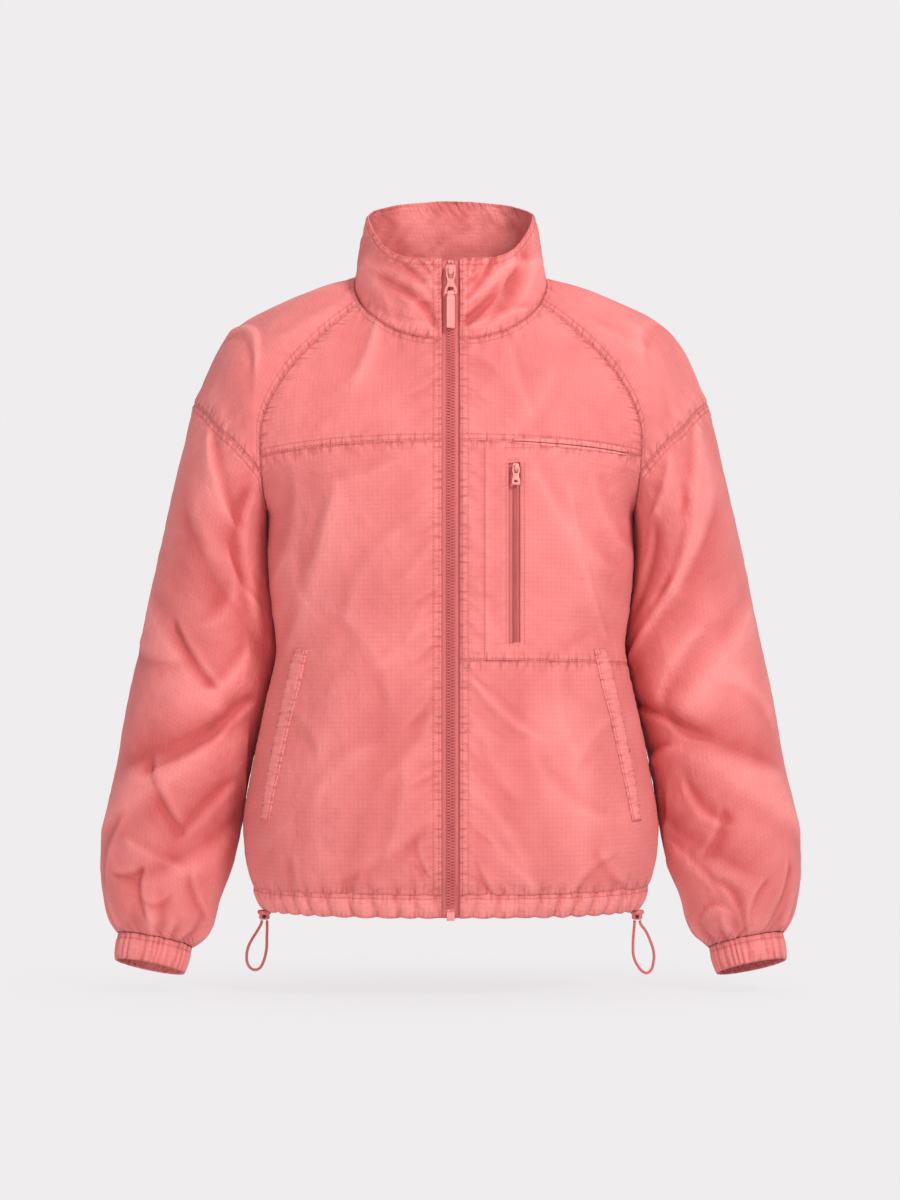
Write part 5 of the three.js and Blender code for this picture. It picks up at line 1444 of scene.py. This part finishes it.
main_chain = add_main_chain()
tapes = {where: add_tape(where) for where in SIDES}
add_zip_ends()
add_slider("zip_slider_cast", MAIN_SLIDER, "zip_slider")
add_pull("zip_pull_cast", MAIN_PULL, basis(*MAIN_SLIDER["frame"]), "zip_pull", "main_pull")
add_tab()
add_slider("chest_slider_cast", CHEST_SLIDER, "chest_slider")
add_pull("chest_pull_cast", CHEST_PULL, basis(*CHEST_SLIDER["frame"]), "chest_pull", "chest_pull")
print("main zip teeth:", len(main_chain.data.polygons), "faces")

# %% [markdown]
# The chest pocket closes with a fine coil zip. A coil could be a screw of thread, but it is only
# some 4 mm wide, so a row of small leaning blocks on a narrow tape reads the same through the window.

# %% Pocket zip


def front_strip(x, z, step=2.0):
    """Places on the right front at x along heights z, with the way out of the cloth."""
    rows = np.linspace(0, ROW["neck"], 900)

    def line(across):
        made = body_point("front", rows, share_at(rows, across))
        return np.stack([np.full(z.shape, float(across)), np.interp(z, made[:, 2], made[:, 1]), z], -1)

    middle, left, right = line(x), line(x - step), line(x + step)
    out = np.cross(right - left, np.gradient(middle, axis=0))
    return middle, out / np.linalg.norm(out, axis=-1, keepdims=True)


def turn_to(out):
    """A turn whose y points into the cloth."""
    inward = -Vector(out).normalized()
    up = Vector((0, 0, 1))
    right = inward.cross(up).normalized()
    return Matrix((right, inward, right.cross(inward))).transposed().to_4x4()


def add_pocket_zip():
    w = CHEST_WINDOW
    heights = np.linspace(w["bottom"] - 4, w["top"] + 4, 60)
    columns = np.array([-9.6, -7, -5, -3.6, -2.6, -1.2, 0, 1.2, 2.6, 3.6, 5, 7, 9.6])
    lines = [front_strip(w["x"] + dx, heights) for dx in columns]
    points = np.stack([place - 2.2 * out for place, out in lines], axis=1)
    c = Cloth(lambda up, across: points, heights, columns)
    c.raise_by(0.35 * np.exp(-((np.abs(c.across) - 3.6) / 0.7) ** 2))
    tape = added("chest_tape_woven", mesh_of("chest_tape", c), ["chest_zip_tape"], material=zip_tape)
    thicken(tape, 0.7)
    bm = bmesh.new()
    turns = []
    for side in (-1, 1):
        z = np.arange(w["bottom"] - 1 + (side > 0) * 0.8, w["top"] + 1, 1.6)
        for place, out in zip(*front_strip(w["x"], z)):
            turn = turn_to(out)
            centre = Vector(place) - 1.05 * Vector(out) + turn.to_3x3() @ Vector((side * 0.95, 0, 0))
            turns.append((centre, (2.3, 1.5, 1.0), turn @ Matrix.Rotation(side * 0.32, 4, "Y")))
    add_blocks(bm, turns, 0.24, 1)
    return added("chest_coil", mesh_from(bm, "chest_coil"), ["chest_zip_chain"], material=zip_nylon)


pocket_coil = add_pocket_zip()
print("pocket coil:", len(pocket_coil.data.polygons), "faces")

# %% [markdown]
# The hand pockets' welts are folded strips sewn on over their openings. The breast slit at the yoke
# has two narrow lips that meet in a long thin leaf.

# %% Welts
from mathutils.bvhtree import BVHTree

HAND_WELT = table("at outer inner", [
    (-526, 186, 176.5), (-497, 182.5, 170.7), (-466, 177, 164), (-425, 168.5, 155), (-393, 161.5, 146.5),
    (-358, 153, 139),
])


def tree_of(names):
    """The outer faces of some cloth pieces, to lay things on."""
    points, faces, start = [], [], 0
    for name in names:
        mesh = cloths[name][0].data
        points += [vertex.co.copy() for vertex in mesh.vertices]
        faces += [[start + v for v in polygon.vertices] for polygon in mesh.polygons]
        start += len(mesh.vertices)
    return BVHTree.FromPolygons(points, faces)


def front_of(tree, x, z):
    """The y of the cloth's front at a place, looked for again a little higher or lower at a seam's gap."""
    for lift in (0, 0.7, -0.7, 1.5, -1.5):
        hit = tree.ray_cast(Vector((x, -400, z + lift)) * MM, Vector((0, 1, 0)))[0]
        if hit is not None:
            return hit.y / MM
    return tree.find_nearest(Vector((x, -100, z)) * MM)[0].y / MM


def add_hand_welt(where, names):
    tree, side = tree_of(names), SIDES[where]

    def surface(up, across):
        inner, outer = read(HAND_WELT, "inner", up), read(HAND_WELT, "outer", up)
        x = inner + (outer - inner) * across
        made = xyz(x, 0 * x, up)
        for place in made.reshape(-1, 3):
            place[1] = front_of(tree, side * place[0], place[2])
        return made

    heights = -526 + spaced(168, 2.4, 1.4)
    c = Cloth(surface, heights, spaced(1, 0.11, 0.07, 0.2), side=side)
    c.points = c.points.copy()
    for _ in range(6):
        c.points[1:-1, :, 1] = (c.points[:-2, :, 1] + 2 * c.points[1:-1, :, 1] + c.points[2:, :, 1]) / 4
    c.normals = c.outward(c.points)
    ends = np.minimum(c.from_foot, c.to_top)
    crown = np.clip(c.from_first / 2, 0, 1) * np.clip(c.to_last / 1.5, 0, 1) * np.clip(ends / 2, 0, 1)
    height = 1.0 + 0.9 * crown + 0.55 * crown * ripple(c.z, 8, 91 + side)
    height -= 0.7 * np.exp(-((c.from_first - 2.6) / 1.0) ** 2) + 0.7 * np.exp(-((c.to_last - 2.6) / 1.0) ** 2)
    height += 0.35 * ruffle(c.from_first, c.z, 6, 93 + side)
    c.raise_by(height)
    name = "hand_welt_" + where
    return thicken(added(name + "_cloth", mesh_of(name + "_cloth", c), [name], material=ripstop), 1.4), c


def add_lip(name, direction, high):
    def surface(up, across):
        leaf = 0.45 + 0.55 * np.sin(np.pi * np.clip(across, 0, 1)) ** 0.5
        return body_point("front", ROW["yoke"] + direction * (0.02 + high * up * leaf), 0.24 + 0.636 * across)

    ups = np.linspace(0, 1, 9)
    c = Cloth(surface, ups, spaced(1, 0.017, 0.01, 0.05))
    if direction < 0:
        c.normals = -c.normals
    height = 0.7 + 1.3 * np.sin(np.pi * np.clip(c.up * 0.9 + 0.1, 0, 1)) ** 0.7 + 0.3 * ripple(c.x, 10, 97 + direction)
    c.raise_by(height)
    mesh = mesh_of(name + "_cloth", c)
    if direction < 0:
        mesh.flip_normals()
    return thicken(added(name + "_cloth", mesh, [name], material=ripstop), 1.2), c


welts = {
    "left": add_hand_welt("left", ["front_left"]),
    "right": add_hand_welt("right", ["front_right_lower", "chest_panel_right"]),
}
lips = [add_lip("yoke_welt_upper", 1, 0.26), add_lip("yoke_welt_lower", -1, 0.24)]
print("welts and lips:", ", ".join(piece.name for piece, cloth in (*welts.values(), *lips)))

# %% [markdown]
# Two toggles grip the hem's elastic cord. Each is a moulded barrel under a wider cap, so its profile
# is spun round, and the shade in the hole through it is painted as a dark plug that stands a little proud.

# %% Toggles


def add_toggle(where):
    cap, radius, height = LOCK["cap"], LOCK["radius"], LOCK["height"]
    profile = [(0, -height), (radius * 0.72, -height), (radius * 0.95, -height * 0.9), (radius, -height * 0.75),
               (radius * 0.93, -height * 0.5), (cap * 0.93, -height * 0.4), (cap, -height * 0.32),
               (cap, -height * 0.14), (cap * 0.9, -height * 0.03), (cap * 0.6, 0), (0, 0)]
    bm = bmesh.new()
    line = [bm.verts.new((r * MM, 0, z * MM)) for r, z in profile]
    edges = [bm.edges.new(pair) for pair in zip(line, line[1:])]
    bmesh.ops.spin(bm, geom=line + edges, cent=(0, 0, 0), axis=(0, 0, 1), angle=2 * math.pi, steps=32)
    bmesh.ops.remove_doubles(bm, verts=bm.verts, dist=0.00001)
    bmesh.ops.recalc_face_normals(bm, faces=bm.faces)
    centre = Vector((SIDES[where] * LOCK["x"], LOCK["y"], LOCK["top"]))
    bmesh.ops.translate(bm, verts=bm.verts, vec=centre * MM)
    name = "cord_lock_" + where
    lock = added(name + "_toggle", mesh_from(bm, name), [name], material=toggle_nylon)
    # The hole's shade is painted: a dark plug through the toggle.
    bm = bmesh.new()
    turn = Matrix.Rotation(math.pi / 2, 4, "X")
    place = Matrix.Translation((centre + Vector((0, 0, -height * 0.66))) * MM)
    bmesh.ops.create_cone(bm, cap_ends=True, segments=20, radius1=1.9 * MM, radius2=1.9 * MM,
                          depth=(2 * radius + 0.6) * MM, matrix=place @ turn)
    hole = added(name + "_hole", mesh_from(bm, name + "_hole"), [], material=hole_shade)
    return lock, hole


for where in SIDES:
    add_toggle(where)
print("toggles:", LOCK["height"], "mm tall")

# %% [markdown]
# Topstitching holds every seam flat. A drawn line would vanish from the side, so each stitch is a
# small bead of thread on the cloth. Each run follows an edge of a panel at its own distance, as the
# presser foot of a machine does, and the runs of one part of the jacket are one piece.

# %% Topstitching
STITCH = {"pitch": 3.1, "half": 1.15, "thick": 0.34}


def run(cloth, edge, distance, low=0.0, high=1.0):
    """A line along an edge of a panel at a distance from it, with the ways out of the cloth."""
    field = {"first": cloth.from_first, "last": cloth.to_last, "foot": cloth.from_foot, "top": cloth.to_top}[edge]
    down = edge in ("foot", "top")
    grids = [np.swapaxes(g, 0, 1) if down else g for g in (field, cloth.points, cloth.normals)]
    if edge in ("last", "top"):
        grids = [g[:, ::-1] for g in grids]
    places, ways = [], []
    for distances, points, normals in zip(*grids):
        places.append([np.interp(distance, distances, points[:, k]) for k in range(3)])
        ways.append([np.interp(distance, distances, normals[:, k]) for k in range(3)])
    places, ways = np.array(places), np.array(ways)
    keep = slice(int(low * len(places)), max(int(high * len(places)), 2))
    mirror = np.array([cloth.side, 1, 1])
    return places[keep] * mirror, ways[keep] * mirror


def upright(cloth, x, low, high):
    """A line up a front panel at one x."""
    places, ways = [], []
    for line, points, normals in zip(cloth.x, cloth.points, cloth.normals):
        places.append([np.interp(x, line, points[:, k]) for k in range(3)])
        ways.append([np.interp(x, line, normals[:, k]) for k in range(3)])
    places, ways = np.array(places), np.array(ways)
    keep = (places[:, 2] > low) & (places[:, 2] < high)
    return places[keep], ways[keep]


def level(cloth, z, low, high):
    """A line across a front panel at one height."""
    places, ways = [], []
    for line, points, normals in zip(cloth.z.T, np.swapaxes(cloth.points, 0, 1), np.swapaxes(cloth.normals, 0, 1)):
        places.append([np.interp(z, line, points[:, k]) for k in range(3)])
        ways.append([np.interp(z, line, normals[:, k]) for k in range(3)])
    places, ways = np.array(places), np.array(ways)
    keep = (places[:, 0] > low) & (places[:, 0] < high)
    return places[keep], ways[keep]


def sew(name, runs):
    whole = bmesh.new()
    count = 0
    for places, ways in runs:
        bm = bmesh.new()
        gaps = np.linalg.norm(np.diff(places, axis=0), axis=1)
        lengths = np.append(0, np.cumsum(gaps))
        for s in np.arange(1.5, lengths[-1] - 1.5, STITCH["pitch"]):
            at = [np.interp((s - 0.8, s, s + 0.8), lengths, places[:, k]) for k in range(3)]
            before, centre, after = (Vector(p) for p in zip(*at))
            out = Vector([np.interp(s, lengths, ways[:, k]) for k in range(3)]).normalized()
            along = (after - before).normalized()
            across = out.cross(along).normalized()
            turn = Matrix((along, across, along.cross(across))).transposed().to_4x4()
            size = Matrix.Diagonal((STITCH["half"] * MM, STITCH["thick"] * MM, STITCH["thick"] * MM, 1))
            place = Matrix.Translation((centre + 0.12 * out) * MM)
            bmesh.ops.create_icosphere(bm, subdivisions=1, radius=1, matrix=place @ turn @ size)
            count += 1
        row = mesh_from(bm, "row")
        whole.from_mesh(row)
        bpy.data.meshes.remove(row)
    print(name, count, "stitches")
    return added(name, mesh_from(whole, name), [], material=thread)


def front_runs():
    runs = []
    for name in ("yoke_left", "yoke_right", "front_left", "front_right_lower", "chest_panel_right"):
        c = cloths[name][1]
        runs += [run(c, "first", 2.6), run(c, "first", 8.2)]
    for name in ("front_left", "chest_panel_right"):
        runs.append(run(cloths[name][1], "top", 1.4))
    for name in ("yoke_left", "yoke_right"):
        c = cloths[name][1]
        runs += [run(c, "foot", 1.6), run(c, "foot", 6.5), run(c, "last", 1.6), run(c, "top", 1.4), run(c, "top", 6)]
    runs.append(run(cloths["chest_panel_right"][1], "foot", 1.6))
    runs.append(run(cloths["front_right_lower"][1], "top", 1.4))
    return runs


def pocket_runs():
    c, w = cloths["chest_panel_right"][1], CHEST_WINDOW
    runs = [upright(c, w["x"] + s * (w["half"] + d), w["bottom"] - d, w["top"] + d) for s in (-1, 1) for d in (2.2,)]
    runs += [level(c, w["top"] + 2.2, w["x"] - 9, w["x"] + 9), level(c, w["bottom"] - 2.2, w["x"] - 9, w["x"] + 9)]
    runs += [upright(c, PLEAT_AT, -366, -154), level(c, -163, 50, 166)]
    for welt in welts.values():
        runs += [run(welt[1], "first", 2.6), run(welt[1], "last", 2.6), run(welt[1], "foot", 2, 0.1, 0.9),
                 run(welt[1], "top", 2, 0.1, 0.9)]
    return runs


def body_runs():
    runs = []
    for where in SIDES:
        shoulder, sleeve, cuff = (cloths[n + "_" + where][1] for n in ("shoulder", "sleeve", "cuff"))
        runs += [run(shoulder, "first", 1.8), run(shoulder, "first", 7), run(shoulder, "last", 1.6),
                 run(shoulder, "top", 1.4), run(shoulder, "top", 6), run(shoulder, "foot", 1.6),
                 run(sleeve, "foot", 1.6), run(sleeve, "foot", 6.5, 0, 1), run(cuff, "foot", 5.5),
                 run(cloths["hem_" + where][1], "top", 4.0)]
    back, collar = cloths["back"][1], cloths["collar"][1]
    runs += [run(back, "top", 1.4), run(back, "top", 6), run(back, "first", 7), run(back, "last", 7),
             run(cloths["hem_back"][1], "top", 4.0), run(collar, "top", 1.2), run(collar, "top", 6.5),
             run(collar, "foot", 1.4), run(collar, "first", 2.6), run(collar, "first", 8.2),
             run(collar, "last", 2.6), run(collar, "last", 8.2)]
    return runs


sew("front_topstitching", front_runs())
sew("pocket_topstitching", pocket_runs())
sew("body_topstitching", body_runs())

# %% [markdown]
# A cutter would want each panel's flat size. It is measured along the cloth before its relief, with
# an allowance for seams, and a larger one where the cloth is gathered. The welts and the pocket's
# lips are sewn on to their fronts. A table lists which front each belongs to, but their sizes are
# not added to the fronts'.

# %% Cut sizes
GATHERED = {"front_left", "front_right_lower", "back", "sleeve_left", "sleeve_right", "cuff_left", "cuff_right",
            "hem_left", "hem_right", "hem_back"}


def flat_size(cloth):
    """The width and length of a panel along its cloth, in metres, and its area."""
    wide = cloth.from_first[:, -1].max() * MM
    tall = cloth.from_foot[-1].max() * MM
    steps = np.linalg.norm(np.diff(cloth.base, axis=1), axis=-1)
    rises = np.linalg.norm(np.diff(cloth.base, axis=0), axis=-1)
    area = float((steps[1:] * rises[:, 1:]).sum()) * MM**2
    return wide, tall, area


SEWN_ON = {"front_left": [welts["left"][0]], "front_right_lower": [welts["right"][0]],
           "yoke_right": [lip[0] for lip in lips]}
SEAMS, FULLNESS = 1.02, 1.12
for name, (piece, cloth) in cloths.items():
    wide, tall, area = flat_size(cloth)
    full = FULLNESS if name in GATHERED else SEAMS
    flat = (round(wide * full, 3), round(tall * SEAMS, 3))
    area = round(area * full * SEAMS, 4)
    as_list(SEWN_ON.get(name, ()))
    print(name, "cut", flat, "m, area", area)

# %% [markdown]
# A photographer would light this jacket with big soft lamps in front of pale paper: the key from the
# right, a weaker fill from the left, and a little from above. The paper glows as the wall behind
# does, apart from close under the hem, where it takes a faint shadow.

# %% Studio
FLOOR_HEIGHT = -0.70
PAPER = "efedee"


def paper_finish():
    """Matt paper near the jacket that fades into the plain light of the background."""
    material, tree, shader = finish("pale paper", 0.95, specular=0.1)
    shader.inputs["Base Color"].default_value = colour("f4f2f3")
    place = add_node(tree, "ShaderNodeTexCoord").outputs["Object"]
    squashed = add_node(tree, "ShaderNodeMapping", {"Vector": place, "Scale": (1.0, 1.6, 0)}).outputs[0]
    away = add_node(tree, "ShaderNodeVectorMath", {0: squashed}, operation="LENGTH").outputs["Value"]
    fade = add_node(tree, "ShaderNodeMapRange", {"Value": away, "From Min": 0.1, "From Max": 0.6},
                    interpolation_type="SMOOTHSTEP").outputs[0]
    glow = add_node(tree, "ShaderNodeEmission", {"Color": colour(PAPER)})
    mix = add_node(tree, "ShaderNodeMixShader", {
        0: maths(tree, "ADD", maths(tree, "MULTIPLY", fade, 0.12), 0.88), 1: shader.outputs[0], 2: glow.outputs[0],
    })
    tree.links.new(mix.outputs[0], tree.nodes["Material Output"].inputs["Surface"])
    return material


def add_floor():
    bm = bmesh.new()
    bmesh.ops.create_grid(bm, x_segments=1, y_segments=1, size=30, matrix=Matrix.Translation((0, 0, FLOOR_HEIGHT)))
    mesh = bpy.data.meshes.new("paper")
    bm.to_mesh(mesh)
    bm.free()
    floor = bpy.data.objects.new("floor", mesh)
    floor.data.materials.append(paper_finish())
    bpy.context.scene.collection.objects.link(floor)


def add_light(name, place, target, size, power):
    data = bpy.data.lights.new(name, "AREA")
    data.shape = "DISK"
    data.size = size
    data.energy = power
    light = bpy.data.objects.new(name, data)
    light.location = place
    light.rotation_euler = (Vector(target) - Vector(place)).to_track_quat("-Z", "Y").to_euler()
    bpy.context.scene.collection.objects.link(light)


def add_world(ambient):
    """The camera sees plain paper, while the jacket gets a weaker ambient light."""
    world = bpy.data.worlds.new("studio")
    world.use_nodes = True
    tree = world.node_tree
    seen = tree.nodes["Background"]
    seen.inputs["Color"].default_value = colour(PAPER)
    lit = add_node(tree, "ShaderNodeBackground", {"Color": colour("fffafa"), "Strength": ambient})
    path = add_node(tree, "ShaderNodeLightPath").outputs["Is Camera Ray"]
    mix = add_node(tree, "ShaderNodeMixShader", {0: path, 1: lit.outputs[0], 2: seen.outputs[0]})
    tree.links.new(mix.outputs[0], tree.nodes["World Output"].inputs["Surface"])
    bpy.context.scene.world = world


add_floor()
add_light("key", (1.5, -2.1, 1.3), (0, 0, -0.3), 0.9, 61)
add_light("fill", (-1.6, -2.8, -0.3), (0, 0, -0.45), 1.2, 29)
add_light("top", (0.2, 0.3, 1.7), (0, 0, -0.2), 1.0, 12)
add_world(0.38)
bpy.context.scene.view_settings.view_transform = "Standard"

# %% [markdown]
# At the end the scene is brought up to date.

# %% Update
bpy.context.view_layer.update()
